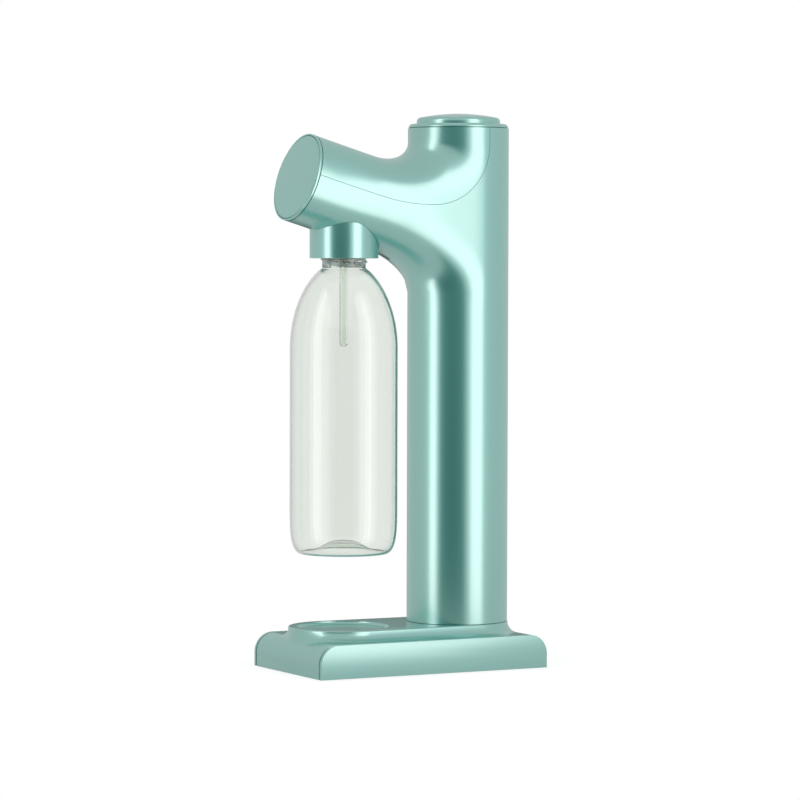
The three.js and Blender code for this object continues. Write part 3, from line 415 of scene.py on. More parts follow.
def faced_out(piece):
    """Turns a closed mesh's faces outwards by the sign of its volume."""
    work = bmesh.new()
    work.from_mesh(piece.data)
    bmesh.ops.recalc_face_normals(work, faces=work.faces)
    if work.calc_volume(signed=True) < 0:
        bmesh.ops.reverse_faces(work, faces=work.faces)
    work.to_mesh(piece.data)
    work.free()
    return piece


def unit(v):
    """Unit vectors."""
    return v / np.maximum(np.linalg.norm(v, axis=-1, keepdims=True), TINY)


def gradient(field, place, step=2e-6):
    """Unit slope of a field at points."""
    ways = np.eye(3) * step
    return unit(np.stack([field(place + way) - field(place - way) for way in ways], axis=1))


def read_out(items, key, width=1, kind=float):
    """One property of all of a mesh's items, as an array."""
    values = np.empty(len(items) * width, kind)
    items.foreach_get(key, values)
    return values if width == 1 else values.reshape(-1, width)


def form_normals(piece, field, within, where=None, ease=0.0):
    """Gives corners the form's normal where their face lies on it, evened out over a reach."""
    mesh = smooth(piece).data
    corners = read_out(mesh.corner_normals, "vector", 3)
    place = read_out(mesh.vertices, "co", 3)
    slope = gradient(field, place)
    for share in EASE_SHARES if ease else ():
        for step in (FORWARD, -FORWARD, UPWARD, -UPWARD):
            slope = slope + gradient(field, place + step * ease * share)
    vertex = read_out(mesh.loops, "vertex_index", kind=int)
    sizes = read_out(mesh.polygons, "loop_total", kind=int)
    face_normal = np.repeat(read_out(mesh.polygons, "normal", 3), sizes, axis=0)
    wanted = unit(slope)[vertex]
    fits = (wanted * face_normal).sum(1) > math.cos(math.radians(within))
    if where is not None:
        fits &= where(place)[vertex]
    corners[fits] = wanted[fits]
    mesh.normals_split_custom_set(corners.tolist())
    return piece


# The head

SIDEWAYS = np.array([1.0, 0, 0])
FORWARD = np.array([0, -1.0, 0])
UPWARD = np.array([0, 0, 1.0])
ARM_FORWARD = np.array([0, -math.cos(ARM_TILT), math.sin(ARM_TILT)])
ARM_UP = np.array([0, math.sin(ARM_TILT), math.cos(ARM_TILT)])
ARM_ROOT = np.array([0, COLUMN_Y, ARM_END_HEIGHT - ARM_REACH * math.tan(ARM_TILT)])
ARM_LENGTH = ARM_REACH / math.cos(ARM_TILT)
FAR_OUT = COLUMN_RADIUS + ARM_RADIUS + LOWER_BLEND[0]


def ease_in(value, start, end):
    """0 before start, 1 after end, and a smooth rise between."""
    t = np.clip((value - start) / (end - start), 0, 1)
    return t * t * (3 - 2 * t)


def blended(front, arm, sizes, lean):
    """Depth past two lines of the side view, with an elliptical blend in their corner."""
    along, beside = sizes
    near_front, near_arm = 1 - front / along, 1 - arm / beside
    a, b = near_front - lean * near_arm, near_arm - lean * near_front
    meeting = (a > 0) & (b > 0)
    size = (along * a + beside * b) / np.where(meeting, a + b, 1)
    square = near_front**2 + near_arm**2 - 2 * lean * near_front * near_arm
    rolled_in = size * (1 - np.sqrt(np.maximum(square, 0) / (1 - lean**2)))
    return np.where(meeting, rolled_in, np.minimum(front, arm))


def head_field(p):
    """Zero on the head's skin, negative inside: the side view's outline, rounded to its full width."""
    ahead = COLUMN_Y - p[:, 1]
    rise = (p - ARM_ROOT) @ ARM_UP
    lean = -ARM_UP.dot([0, 1, 0])
    above = blended(ahead - COLUMN_RADIUS, rise - ARM_RADIUS, UPPER_BLEND, lean)
    below = blended(ahead - COLUMN_RADIUS, -rise - ARM_RADIUS, LOWER_BLEND, -lean)
    outside = np.maximum(np.maximum(above, below), -ahead - COLUMN_RADIUS)
    depth = mix(COLUMN_RADIUS, ARM_RADIUS, ease_in(ahead, COLUMN_RADIUS, ROUNDING_SETTLES))
    width = mix(COLUMN_RADIUS, ARM_RADIUS, ease_in(ahead, COLUMN_RADIUS, WIDTH_SETTLES))
    return depth * (np.hypot(np.maximum(0, 1 + outside / depth), p[:, 0] / width) - 1)


def skin_points(origins, directions):
    """Where rays from inside the head meet its skin."""
    near = np.zeros(len(origins))
    far = np.full(len(origins), FAR_OUT)
    for _ in range(BISECTIONS):
        half = (near + far) / 2
        inside = head_field(origins + directions * half[:, None]) < 0
        near = np.where(inside, half, near)
        far = np.where(inside, far, half)
    return origins + directions * near[:, None]


def sheet(rows):
    """Outer and inner grids from rows of (origin, direction) rays."""
    rays = np.array(rows, float)
    shape = rays.shape[:2]
    outer = skin_points(rays[:, :, 0].reshape(-1, 3), rays[:, :, 1].reshape(-1, 3))
    inner = outer - gradient(head_field, outer, GAP) * SHELL_WALL
    return [outer.reshape(*shape, 3), inner.reshape(*shape, 3)]


def half_round(origin, over):
    """Rays of one section: from the +X side, over the given way, to the -X side."""
    return [
        (origin, SIDEWAYS * math.cos(angle) + over * math.sin(angle))
        for angle in evenly(HALF_ROUND, 0, math.pi)
    ]


def sewn(name, sheets):
    """One closed shell from sheets of (outer, inner, flipped) grids, joined where they meet."""
    outer = np.concatenate([grid[0].reshape(-1, 3) for grid in sheets])
    inner = np.concatenate([grid[1].reshape(-1, 3) for grid in sheets])
    _, first, same = np.unique(np.round(outer, 6), axis=0, return_index=True, return_inverse=True)
    same = same.reshape(-1)
    outer, inner = outer[first], inner[first]
    quads, start = [], 0
    for grid, _, flipped in sheets:
        rows, columns = grid.shape[:2]
        at = same[start + np.arange(rows * columns)].reshape(rows, columns)
        start += rows * columns
        cells = np.stack([at[:-1, :-1], at[:-1, 1:], at[1:, 1:], at[1:, :-1]], axis=-1).reshape(-1, 4)
        quads.append(cells[:, ::-1] if flipped else cells)
    count = len(outer)
    faces, edges = [], {}
    for quad in np.concatenate(quads):
        loop = [int(v) for k, v in enumerate(quad) if v != quad[k - 1]]
        if len(set(loop)) < 3:
            continue
        faces.append(loop)
        faces.append([v + count for v in reversed(loop)])
        for a, b in zip(loop, loop[1:] + loop[:1]):
            if (b, a) in edges:
                del edges[(b, a)]
            else:
                edges[(a, b)] = True
    for a, b in edges:
        faces.append([b, a, a + count, b + count])
    return faced_out(mesh_object(name, np.concatenate([outer, inner]), faces))


def arm_point(reach, rise):
    """A point in the middle plane, by its reach along the arm and rise above its axis."""
    return ARM_ROOT + ARM_FORWARD * reach + ARM_UP * rise


def blend_centre(along, beside, side):
    """The centre of the blend above (1) or below (-1) the arm, in the middle plane."""
    away = ARM_RADIUS + beside
    reach = (COLUMN_RADIUS + along + side * away * math.sin(ARM_TILT)) / math.cos(ARM_TILT)
    return arm_point(reach, side * away)


UPPER_CENTRE = blend_centre(*UPPER_BLEND, 1)
LOWER_CENTRE = blend_centre(*LOWER_BLEND, -1)


def towards(centre, start, arm_side):
    """Which way a section faces: square to the arm or column, or at the blend's centre."""
    if (start - centre) @ ARM_FORWARD > 0:
        return ARM_UP * arm_side
    if (start[2] - centre[2]) * arm_side > 0:
        return FORWARD
    return unit(centre - start)


def parting_line():
    """The cover's parting line in two runs of (point, way to the cover): along the arm, then up."""
    bend_centre = np.array(
        [0, COLUMN_Y + SEAM_BEHIND_AXIS - SEAM_BEND_RADIUS, SEAM_LOWEST + SEAM_BEND_RADIUS]
    )
    start = ARM_LENGTH - END_RING_THICKNESS - GAP
    along_arm = [
        (arm_point(reach, SEAM_RISE), ARM_UP) for reach in evenly(ROWS, start, SEAM_LEAVE_REACH)[:-1]
    ]
    leave = arm_point(SEAM_LEAVE_REACH, SEAM_RISE)
    bottom = np.array([0, bend_centre[1], SEAM_LOWEST])
    ease = [leave, leave - ARM_FORWARD * SEAM_EASING, bottom + FORWARD * SEAM_EASING, bottom]
    easing = []
    for t in evenly(ROWS, 0, 1):
        point = sum(w * p for w, p in zip(cubic_weights(t), ease))
        slopes = [(1 - t) ** 2, 2 * t * (1 - t), t**2]
        along = unit(sum(w * (b - a) for w, a, b in zip(slopes, ease, ease[1:])))
        easing.append((point, np.array([0, -along[2], along[1]])))
    bend = []
    for angle in evenly(ROWS * 2, 0, math.pi / 2)[1:]:
        out = np.array([0, math.sin(angle), -math.cos(angle)])
        bend.append((bend_centre + out * SEAM_BEND_RADIUS, -out))
    side = COLUMN_Y + SEAM_BEHIND_AXIS
    rise = evenly(TOP_ROWS, bend_centre[2], SHELL_TOP)[1:]
    return along_arm + easing, bend + [(np.array([0, side, z]), FORWARD) for z in rise]


def shifted(seam, shift):
    """The parting line moved across itself."""
    return [point + square * shift for point, square in seam]


def upper_cover():
    """The cover over the arm and the front of the column's top."""
    lower_run, upper_run = parting_line()
    path = shifted(lower_run + upper_run, GAP / 2)
    grid = sheet([half_round(start, towards(UPPER_CENTRE, start, 1)) for start in path])
    return sewn("upper_cover_shell", [(*grid, False)])


def main_shell():
    """The column with the lower half of the arm."""
    lower_run, upper_run = parting_line()
    arm = shifted(lower_run, -GAP / 2)
    upward = shifted(upper_run, -GAP / 2)
    branch = arm[-1]
    downward = []
    for angle in evenly(ROWS * 2, 0, math.pi / 2)[1:]:
        y = branch[1] + (COLUMN_Y - branch[1]) * math.sin(angle)
        z = LOWER_CENTRE[2] + (branch[2] - LOWER_CENTRE[2]) * math.cos(angle)
        downward.append(np.array([0, y, z]))
    straight = [np.array([0, COLUMN_Y, z]) for z in evenly(ROWS, LOWER_CENTRE[2], COLUMN_FOOT)[1:]]
    front = [half_round(p, towards(LOWER_CENTRE, p, -1)) for p in arm + downward + straight]
    rear = [round_back(edge) for edge in upward[::-1] + [branch] + downward + straight]
    return sewn("main_shell", [(*sheet(front), False), (*sheet(rear), True)])


def round_back(edge):
    """Rays round the back at one height, from one edge of the front to the other."""
    middle_y = max(COLUMN_Y, edge[1])
    flank = [
        (np.array([0, y, edge[2]]), SIDEWAYS) for y in evenly(BACK_ROWS, edge[1], middle_y)[:-1]
    ]
    centre = np.array([0, middle_y, edge[2]])
    rear = [
        (centre, np.array([math.cos(angle), math.sin(angle), 0]))
        for angle in evenly(HALF_ROUND, 0, math.pi)
    ]
    return flank + rear + [(origin, -SIDEWAYS) for origin, _ in flank[::-1]]


def cut_head(shell):
    """Cuts the collar's hole and the vent slot from the lower shell."""
    foot = COLLAR_FOOT - OVERRUN
    hole = turned("collar_hole", band(0, COLLAR_RADIUS + GAP, foot, COLLAR_TOP + GAP), BOTTLE_Y)
    vent_y = COLUMN_Y - VENT_REACH
    half_width, half_length = VENT_WIDTH / 2 + GAP, VENT_LENGTH / 2 + GAP
    ring = []
    for sign in (-1, 1):
        for angle in evenly(VENT_STEPS, 0, math.pi):
            ahead = half_length - half_width + half_width * math.sin(angle)
            ring.append((-sign * half_width * math.cos(angle), vent_y + sign * ahead))
    slot = lofted("vent_hole", [[(x, y, z) for x, y in ring] for z in (foot, MOUTH_HEIGHT)])
    return join_or_cut(shell, [hole, slot], "DIFFERENCE")


def on_arm(piece):
    """Moves a piece turned about Z on to the arm's own line."""
    turn = Matrix.Translation(Vector(ARM_ROOT)) @ Matrix.Rotation(math.pi / 2 - ARM_TILT, 4, "X")
    piece.data.transform(turn)
    return piece


def arm_end_ring():
    """The trim ring at the arm's end."""
    bore = ARM_RADIUS - END_RING_WIDTH
    outline = band(bore, ARM_RADIUS, ARM_LENGTH - END_RING_THICKNESS, ARM_LENGTH)
    return on_arm(turned("end_ring", rounded(outline, END_BEVEL), 0, closed=True))


def arm_end_cap():
    """The flush cap inside the trim ring."""
    face = ARM_RADIUS - END_RING_WIDTH - END_CAP_GAP
    spigot = ARM_RADIUS - SHELL_WALL - RUNNING_GAP
    back = ARM_LENGTH - END_RING_THICKNESS
    outline = [
        (0, back - OVERRUN),
        (spigot, back - OVERRUN),
        (spigot, back),
        (face, back),
        (face, ARM_LENGTH),
        (0, ARM_LENGTH),
    ]
    return on_arm(turned("end_cap", rounded(outline, END_BEVEL / 2), 0))


# Top ring, button, spring and collar


def top_ring():
    """The ring round the button."""
    bore = BUTTON_RADIUS + RUNNING_GAP
    foot, top = low("top_ring").z, high("top_ring").z
    outline = [
        (bore, foot),
        (TOP_RING_RADIUS, foot),
        (TOP_RING_RADIUS, top - TOP_RING_SHOULDER),
        (TOP_RING_RADIUS - TOP_RING_SHOULDER, top),
        (bore, top),
    ]
    return turned("button_surround", rounded(outline, TOP_RING_SHOULDER / 2), COLUMN_Y, closed=True)


def carbonation_button():
    """The button's cap, with a low crown and a round edge, and its post and stem."""
    edge = BUTTON_TOP - BUTTON_CROWN
    crown = [
        ((BUTTON_RADIUS - BUTTON_ROUND) * share, BUTTON_TOP - BUTTON_CROWN * share**2)
        for share in evenly(ARC_STEPS, 0, 1)
    ][::-1]
    rounding = [
        (
            BUTTON_RADIUS - BUTTON_ROUND * (1 - math.cos(angle)),
            edge - BUTTON_ROUND * (1 - math.sin(angle)),
        )
        for angle in evenly(ARC_STEPS, 0, math.pi / 2)
    ]
    skirt = high("top_ring").z - BUTTON_SKIRT
    inside = edge - BUTTON_WALL
    foot = low("button_guide").z + POST_ABOVE_GUIDE
    outline = [
        (0, foot),
        (POST_RADIUS, foot),
        (POST_RADIUS, inside),
        (BUTTON_RADIUS - BUTTON_WALL, inside - BUTTON_WALL),
        (BUTTON_RADIUS - BUTTON_WALL, skirt),
        (BUTTON_RADIUS, skirt),
        *rounding,
        *crown[1:],
    ]
    cap = turned("push_button", outline, COLUMN_Y)
    stem_foot = low("carbonation_button").z
    stem_outline = [
        (0, stem_foot),
        (STEM_TIP_RADIUS, stem_foot),
        (STEM_RADIUS, stem_foot + STEM_TIP_LENGTH),
        (STEM_RADIUS, inside),
        (0, inside),
    ]
    stem_y = middle("lever_pivot_pin").y - STEM_AHEAD_OF_PIVOT
    return join_or_cut(cap, [turned("stem", stem_outline, stem_y, sides=STEM_SIDES)], "UNION")


def button_spring():
    """The button's return spring: one wire wound round its post, with a straight tail at each end."""
    foot, top = low("button_spring").z, high("button_spring").z
    steps = SPRING_TURNS * ROWS
    tails = {-1: FORWARD * SPRING_TAIL, steps + 1: -FORWARD * SPRING_TAIL}
    rings = []
    for k in range(-1, steps + 2):
        share = min(max(k, 0), steps) / steps
        angle = share * SPRING_TURNS * math.tau
        out = np.array([math.cos(angle), math.sin(angle), 0])
        height = mix(foot + SPRING_WIRE, top - SPRING_WIRE, share)
        centre = np.array([0, COLUMN_Y, height]) + out * SPRING_RADIUS + tails.get(k, 0)
        rings.append(
            [
                centre + SPRING_WIRE * (out * math.cos(around) + UPWARD * math.sin(around))
                for around in evenly(WIRE_SIDES, 0, math.tau)[:-1]
            ]
        )
    return lofted("return_spring", rings)


def bottle_collar():
    """The collar that the bottle's neck goes up into."""
    outline = band(COLLAR_RADIUS - COLLAR_WALL, COLLAR_RADIUS, COLLAR_FOOT, COLLAR_TOP)
    return turned("socket_collar", rounded(outline, COLLAR_EDGE), BOTTLE_Y, closed=True)


# The base

BASE_MIDDLE = (BASE_FRONT + BASE_BACK) / 2
CORNER_REACH = (BASE_BACK - BASE_FRONT) / 2 - BASE_CORNER_RADIUS
CORNER_Z = DECK_TOP - BASE_CORNER_RADIUS
WALL_TOP = PLATFORM_TOP - PLATFORM_EDGE


def side_outline(inset, floor):
    """The base's side outline in (y, z), drawn in by an inset."""
    radius = BASE_CORNER_RADIUS - inset
    arc = [
        (CORNER_REACH + radius * math.cos(angle), CORNER_Z + radius * math.sin(angle))
        for angle in evenly(BASE_END_STEPS, 0, math.pi / 2)
    ]
    half = [(CORNER_REACH + radius, floor), *arc]
    back = [(BASE_MIDDLE + y, z) for y, z in half]
    front = [(BASE_MIDDLE - y, z) for y, z in reversed(half)]
    return back + front


def across(name, sections):
    """A solid lofted along X through (x, outline) sections."""
    return lofted(name, [[(x, y, z) for y, z in outline] for x, outline in sections])


def from_deck(p):
    """Distance above the base's deck and its rounded ends."""
    out = np.maximum(np.abs(p[:, 1] - BASE_MIDDLE) - CORNER_REACH, 0)
    rise = p[:, 2] - CORNER_Z
    return np.hypot(out, np.maximum(rise, 0)) - BASE_CORNER_RADIUS


def from_wall(p):
    """Distance in plan outside the platform's wall."""
    lean = (PLATFORM_FRONT_RADIUS - PLATFORM_REAR_RADIUS) / (COLUMN_Y - BOTTLE_Y)
    x = np.abs(p[:, 0])
    y = p[:, 1]
    rise = math.sqrt(1 - lean * lean)
    side = (x * rise + (y - BOTTLE_Y) * lean) - PLATFORM_FRONT_RADIUS
    along = (y - BOTTLE_Y) * rise - x * lean
    length = (COLUMN_Y - BOTTLE_Y) * rise
    front = np.hypot(x, y - BOTTLE_Y) - PLATFORM_FRONT_RADIUS
    rear = np.hypot(x, y - COLUMN_Y) - PLATFORM_REAR_RADIUS
    return np.where(along < 0, front, np.where(along > length, rear, side))


def rolled(a, b, lean, radius):
    """Two distances whose slopes lean together, joined by a ball of a radius."""
    u, v = radius - a, radius - b
    square = np.maximum(1 - lean**2, LEAST_BETWEEN_SLOPES)
    inner = np.sqrt(np.maximum((u**2 + v**2 - 2 * lean * u * v) / square, 0))
    on_ball = (u > lean * v) & (v > lean * u)
    return np.where(on_ball, radius - inner, np.minimum(a, b))


def base_field(p):
    """The deck and the platform's wall with the round fillet between them."""
    lean = (gradient(from_deck, p) * gradient(from_wall, p)).sum(1)
    return rolled(from_deck(p), from_wall(p), lean, PLATFORM_FILLET)


def on_base_field(p):
    """Which points lie above the lower part of the ends and below the platform's rounded edge."""
    return (p[:, 2] < WALL_TOP) & (p[:, 2] > CORNER_Z / 2)


def platform_section(angle, radius, centre):
    """One section of the platform: root, fillet that rests on the base's skin, wall and edge."""
    out = np.array([math.cos(angle), math.sin(angle), 0])
    ball = np.array([0, centre, 0]) + out * (radius + PLATFORM_FILLET)
    past = max(0, abs(ball[1] - BASE_MIDDLE) - CORNER_REACH)
    rise = math.sqrt((BASE_CORNER_RADIUS + PLATFORM_FILLET) ** 2 - past**2)
    ball[2] = CORNER_Z + rise
    skin = unit(np.array([0, math.copysign(past, ball[1] - BASE_MIDDLE), rise]))
    turn = math.acos(float(skin @ out))
    above = max(0, ball[2] - WALL_TOP) / PLATFORM_FILLET
    end = turn - math.asin(above * math.sin(turn) / skin[2])
    section = [ball - skin * (PLATFORM_FILLET + BASE_WALL / 2)]
    for part in evenly(FILLET_STEPS, 0, end):
        way = (skin * math.sin(turn - part) + out * math.sin(part)) / math.sin(turn)
        section.append(ball - way * PLATFORM_FILLET)
    wall = section[-1]
    for part in evenly(PLATFORM_EDGE_STEPS, 0, math.pi / 2):
        point = wall - out * PLATFORM_EDGE * (1 - math.cos(part))
        section.append(np.array([point[0], point[1], WALL_TOP + PLATFORM_EDGE * math.sin(part)]))
    return section


def platform():
    """The raised platform: its plan is two circles and their tangents."""
    lean = math.asin((PLATFORM_FRONT_RADIUS - PLATFORM_REAR_RADIUS) / (COLUMN_Y - BOTTLE_Y))
    rear = [
        platform_section(angle, PLATFORM_REAR_RADIUS, COLUMN_Y)
        for angle in evenly(PLATFORM_REAR_STEPS, lean, math.pi - lean)
    ]
    front = [
        platform_section(angle, PLATFORM_FRONT_RADIUS, BOTTLE_Y)
        for angle in evenly(PLATFORM_FRONT_STEPS, math.pi - lean, math.pi * 2 + lean)
    ]
    levels = list(map(list, zip(*(rear + front))))
    return joined_doubles(lofted("platform", levels))


def base_body():
    """The base's shell: deck with rounded ends and grooved sides, platform, recess, hollow."""
    lip = BASE_HALF_WIDTH - SIDE_GROOVE_WIDTH
    sections = [
        (-BASE_HALF_WIDTH, SIDE_GROOVE_DEPTH),
        (-lip, SIDE_GROOVE_DEPTH),
        (-lip, SIDE_EDGE),
        (-lip + SIDE_EDGE * SIDE_EDGE_MIDDLE, SIDE_EDGE * SIDE_EDGE_MIDDLE),
        (-lip + SIDE_EDGE, 0),
    ]
    sections += [(-x, inset) for x, inset in reversed(sections)]
    body = across("base_shell", [(x, side_outline(inset, BASE_FOOT)) for x, inset in sections])
    join_or_cut(body, [platform()], "UNION")
    hollow_half = BASE_HALF_WIDTH - BASE_WALL
    hollow = across(
        "hollow", [(x, side_outline(BASE_WALL, -OVERRUN)) for x in (-hollow_half, hollow_half)]
    )
    seat = DRIP_FOOT - GAP
    above = PLATFORM_TOP + OVERRUN
    wall = DRIP_RADIUS + GAP
    flank = [
        (
            wall + (RECESS_RIM_RADIUS - DRIP_RADIUS - GAP) * math.sin(angle),
            DRIP_TOP + (PLATFORM_TOP - DRIP_TOP) * (1 - math.cos(angle)),
        )
        for angle in evenly(ARC_STEPS, 0, math.pi / 2)
    ]
    recess_outline = [(0, seat), (wall, seat), *flank, (RECESS_RIM_RADIUS, above), (0, above)]
    bore = CYLINDER_RADIUS + 2 * GAP
    cuts = [
        hollow,
        turned("recess", recess_outline, BOTTLE_Y),
        turned("pocket", band(0, POCKET_RADIUS, seat - POCKET_DEPTH, seat + GAP), BOTTLE_Y),
        turned("passage", band(0, bore, -OVERRUN, above), COLUMN_Y),
    ]
    for k in (1, 2, 3):
        cuts.append(screw_hole(f"flange_screw_{k}", low(f"flange_screw_{k}").z - GAP, above))
    return join_or_cut(body, cuts, "DIFFERENCE")


def screw_hole(node, foot, top):
    """A hole round an upright screw."""
    place = middle(node)
    radius = (high(node).x - low(node).x) / 2 + GAP
    hole = turned("hole", band(0, radius, foot, top), place.y, sides=HOLE_SIDES)
    hole.data.transform(Matrix.Translation((place.x, 0, 0)))
    return hole


def side_plate(side):
    """One of the base's side plates, with a fine rounded edge."""
    inner = low("base_side_plate_right").x
    outer = high("base_side_plate_right").x
    half_edge = SIDE_EDGE / 2
    sections = [
        (side * inner, half_edge),
        (side * (inner + half_edge), 0),
        (side * (outer - SIDE_EDGE), 0),
    ]
    for angle in evenly(EDGE_STEPS, 0, math.pi / 2)[1:]:
        x = outer - SIDE_EDGE + SIDE_EDGE * math.sin(angle)
        sections.append((side * x, SIDE_EDGE * (1 - math.cos(angle))))
    name = "side_panel_right" if side > 0 else "side_panel_left"
    return across(name, [(x, side_outline(inset, BASE_FOOT + inset)) for x, inset in sections])


def drip_plate():
    """The round plate in the recess."""
    outline = band(0, DRIP_RADIUS, DRIP_FOOT, DRIP_TOP)
    return turned("drip_disc", rounded(outline, DRIP_EDGE), BOTTLE_Y)


# The bottle


def curve(points, steps):
    """Points of a cubic curve in (radius, height)."""
    made = []
    for t in evenly(steps, 0, 1):
        made.append(tuple(sum(w * p[k] for w, p in zip(cubic_weights(t), points)) for k in (0, 1)))
    return made


def fair(points, steps):
    """A smooth line outwards from the axis through points, by Catmull-Rom spans."""
    p = [np.array(q, float) for q in points]
    p = [p[1] * [-1, 1], *p, 2 * p[-1] - p[-2]]
    made = []
    for a, b, c, d in zip(p, p[1:], p[2:], p[3:]):
        for t in evenly(steps, 0, 1)[:-1]:
            squared = (2 * a - 5 * b + 4 * c - d) * t**2
            cubed = (3 * b - a - 3 * c + d) * t**3
            made.append(tuple((2 * b + (c - a) * t + squared + cubed) / 2))
    made.append(tuple(points[-1]))
    return made


def bottle_outline(inset):
    """The bottle's outline from its punt up to its neck, drawn in by an inset."""
    radius = BOTTLE_RADIUS - inset
    floor = BOTTLE_FOOT + inset
    heel_top = BOTTLE_FOOT + BOTTLE_HEEL_HEIGHT
    dome_foot = BOTTLE_SHOULDER - BOTTLE_DOME_HEIGHT
    neck = BOTTLE_NECK_RADIUS - inset * (NECK_WALL / BOTTLE_WALL)
    punt = [
        (0, floor + PUNT_HEIGHT),
        *((BOTTLE_FOOT_RADIUS * out, floor + PUNT_HEIGHT * up) for out, up in PUNT_SHARES),
        (BOTTLE_FOOT_RADIUS, floor),
    ]
    heel = [
        (BOTTLE_FOOT_RADIUS, floor),
        (mix(BOTTLE_FOOT_RADIUS, radius, HEEL_REACH_SHARE), floor),
        (radius, mix(floor, heel_top, 1 / 3)),
        (radius, heel_top),
    ]
    dome = [
        (radius, dome_foot),
        (radius, dome_foot + BOTTLE_DOME_HEIGHT * DOME_RISE_SHARE),
        (mix(neck, radius, DOME_DRAW_SHARE), BOTTLE_SHOULDER - DOME_EASE),
        (neck, BOTTLE_SHOULDER - inset),
    ]
    return fair(punt, PUNT_STEPS)[:-1] + curve(heel, HEEL_STEPS) + curve(dome, DOME_STEPS)


def thread_rise(height, angle):
    """How far the neck's helical thread stands out at a height and angle."""
    foot = BOTTLE_SHOULDER + THREAD_PITCH
    turn = angle / math.tau
    along = (height - foot) / THREAD_PITCH - turn
    lap = round(along)
    if not 0 <= lap + turn <= THREAD_TURNS:
        return 0.0
    ends = min(lap + turn, THREAD_TURNS - lap - turn) * THREAD_END_STEEPNESS
    ridge = float(1 - ease_in(abs(along - lap), THREAD_CREST, THREAD_ROOT))
    return THREAD_HEIGHT * min(1, ends) * ridge


def bottle():
    """The bottle: one wall with its inside, and a real helix of thread on the neck."""
    lip_foot = MOUTH_HEIGHT - GAP * 2
    neck = [(BOTTLE_NECK_RADIUS, z) for z in evenly(NECK_STEPS, BOTTLE_SHOULDER, lip_foot)[1:]]
    lip = [
        (BOTTLE_NECK_RADIUS - GAP, MOUTH_HEIGHT),
        (BOTTLE_NECK_RADIUS - NECK_WALL + GAP, MOUTH_HEIGHT),
        (BOTTLE_NECK_RADIUS - NECK_WALL, lip_foot),
    ]
    inside = bottle_outline(BOTTLE_WALL)[::-1]
    made = turned("clear_bottle", [*bottle_outline(0), *neck, *lip, *inside], BOTTLE_Y)
    for v in made.data.vertices:
        out = Vector((v.co.x, v.co.y - BOTTLE_Y, 0))
        if v.co.z < BOTTLE_SHOULDER + GAP or out.length < BOTTLE_NECK_RADIUS - GAP / 4:
            continue
        angle = math.atan2(out.y, out.x) % math.tau
        v.co += out.normalized() * thread_rise(v.co.z, angle)
    return made


# Materials


def linear(code):
    """A colour from its written sRGB code."""
    parts = [int(code[k : k + 2], 16) / 255 for k in (0, 2, 4)]
    return tuple(c / 12.92 if c < 0.04045 else ((c + 0.055) / 1.055) ** 2.4 for c in parts) + (1.0,)


def add(tree, kind, **values):
    """A node with its properties set."""
    made = tree.nodes.new(kind)
    for key, value in values.items():
        setattr(made, key, value)
    return made


def set_sockets(node, **values):
    """Sets a node's own input sockets, written with underscores for the spaces in their names."""
    for key, value in values.items():
        node.inputs[key.replace("_", " ")].default_value = value


def new_group(name, inputs, outputs):
    """A shader node group with named sockets. Inputs are (name, kind, default)."""
    tree = bpy.data.node_groups.new(name, "ShaderNodeTree")
    for label, kind, default in inputs:
        socket = tree.interface.new_socket(label, in_out="INPUT", socket_type=kind)
        socket.default_value = default
    for label, kind in outputs:
        tree.interface.new_socket(label, in_out="OUTPUT", socket_type=kind)
    return tree, add(tree, "NodeGroupInput"), add(tree, "NodeGroupOutput")


def new_material(name, **shader):
    """A material with its node tree and shader, whose own sockets are set."""
    material = bpy.data.materials.new(name)
    material.use_nodes = True
    surface = material.node_tree.nodes["Principled BSDF"]
    set_sockets(surface, **shader)
    return material, material.node_tree, surface


def make_mottle():
    """Slow cloudy drift between two colours."""
    tree, given, result = new_group(
        "mottle",
        [
            ("Base", "NodeSocketColor", (0.5, 0.5, 0.5, 1)),
            ("Drift", "NodeSocketColor", (0.5, 0.5, 0.5, 1)),
            ("Scale", "NodeSocketFloat", 12.0),
        ],
        [("Color", "NodeSocketColor")],
    )
    place = add(tree, "ShaderNodeTexCoord")
    cloud = add(tree, "ShaderNodeTexNoise")
    set_sockets(cloud, Detail=3)
    blend = add(tree, "ShaderNodeMix", data_type="RGBA")
    link = tree.links.new
    link(place.outputs["Object"], cloud.inputs["Vector"])
    link(given.outputs["Scale"], cloud.inputs["Scale"])
    link(cloud.outputs["Fac"], blend.inputs["Factor"])
    link(given.outputs["Base"], blend.inputs["A"])
    link(given.outputs["Drift"], blend.inputs["B"])
    link(blend.outputs["Result"], result.inputs["Color"])
    return tree


def make_grain():
    """Fine grain: a height for bump and a roughness between two limits."""
    tree, given, result = new_group(
        "grain",
        [
            ("Scale", "NodeSocketFloat", 900.0),
            ("Stretch", "NodeSocketVector", (1, 1, 1)),
            ("Smoothest", "NodeSocketFloat", 0.3),
            ("Roughest", "NodeSocketFloat", 0.4),
        ],
        [("Height", "NodeSocketFloat"), ("Roughness", "NodeSocketFloat")],
    )
    place = add(tree, "ShaderNodeTexCoord")
    pull = add(tree, "ShaderNodeVectorMath", operation="MULTIPLY")
    speck = add(tree, "ShaderNodeTexNoise")
    set_sockets(speck, Detail=4)
    spread = add(tree, "ShaderNodeMapRange")
    set_sockets(spread, From_Min=0.3, From_Max=0.7)
    link = tree.links.new
    link(place.outputs["Object"], pull.inputs[0])
    link(given.outputs["Stretch"], pull.inputs[1])
    link(pull.outputs["Vector"], speck.inputs["Vector"])
    link(given.outputs["Scale"], speck.inputs["Scale"])
    link(speck.outputs["Fac"], spread.inputs["Value"])
    link(given.outputs["Smoothest"], spread.inputs["To Min"])
    link(given.outputs["Roughest"], spread.inputs["To Max"])
    link(speck.outputs["Fac"], result.inputs["Height"])
    link(spread.outputs["Result"], result.inputs["Roughness"])
    return tree


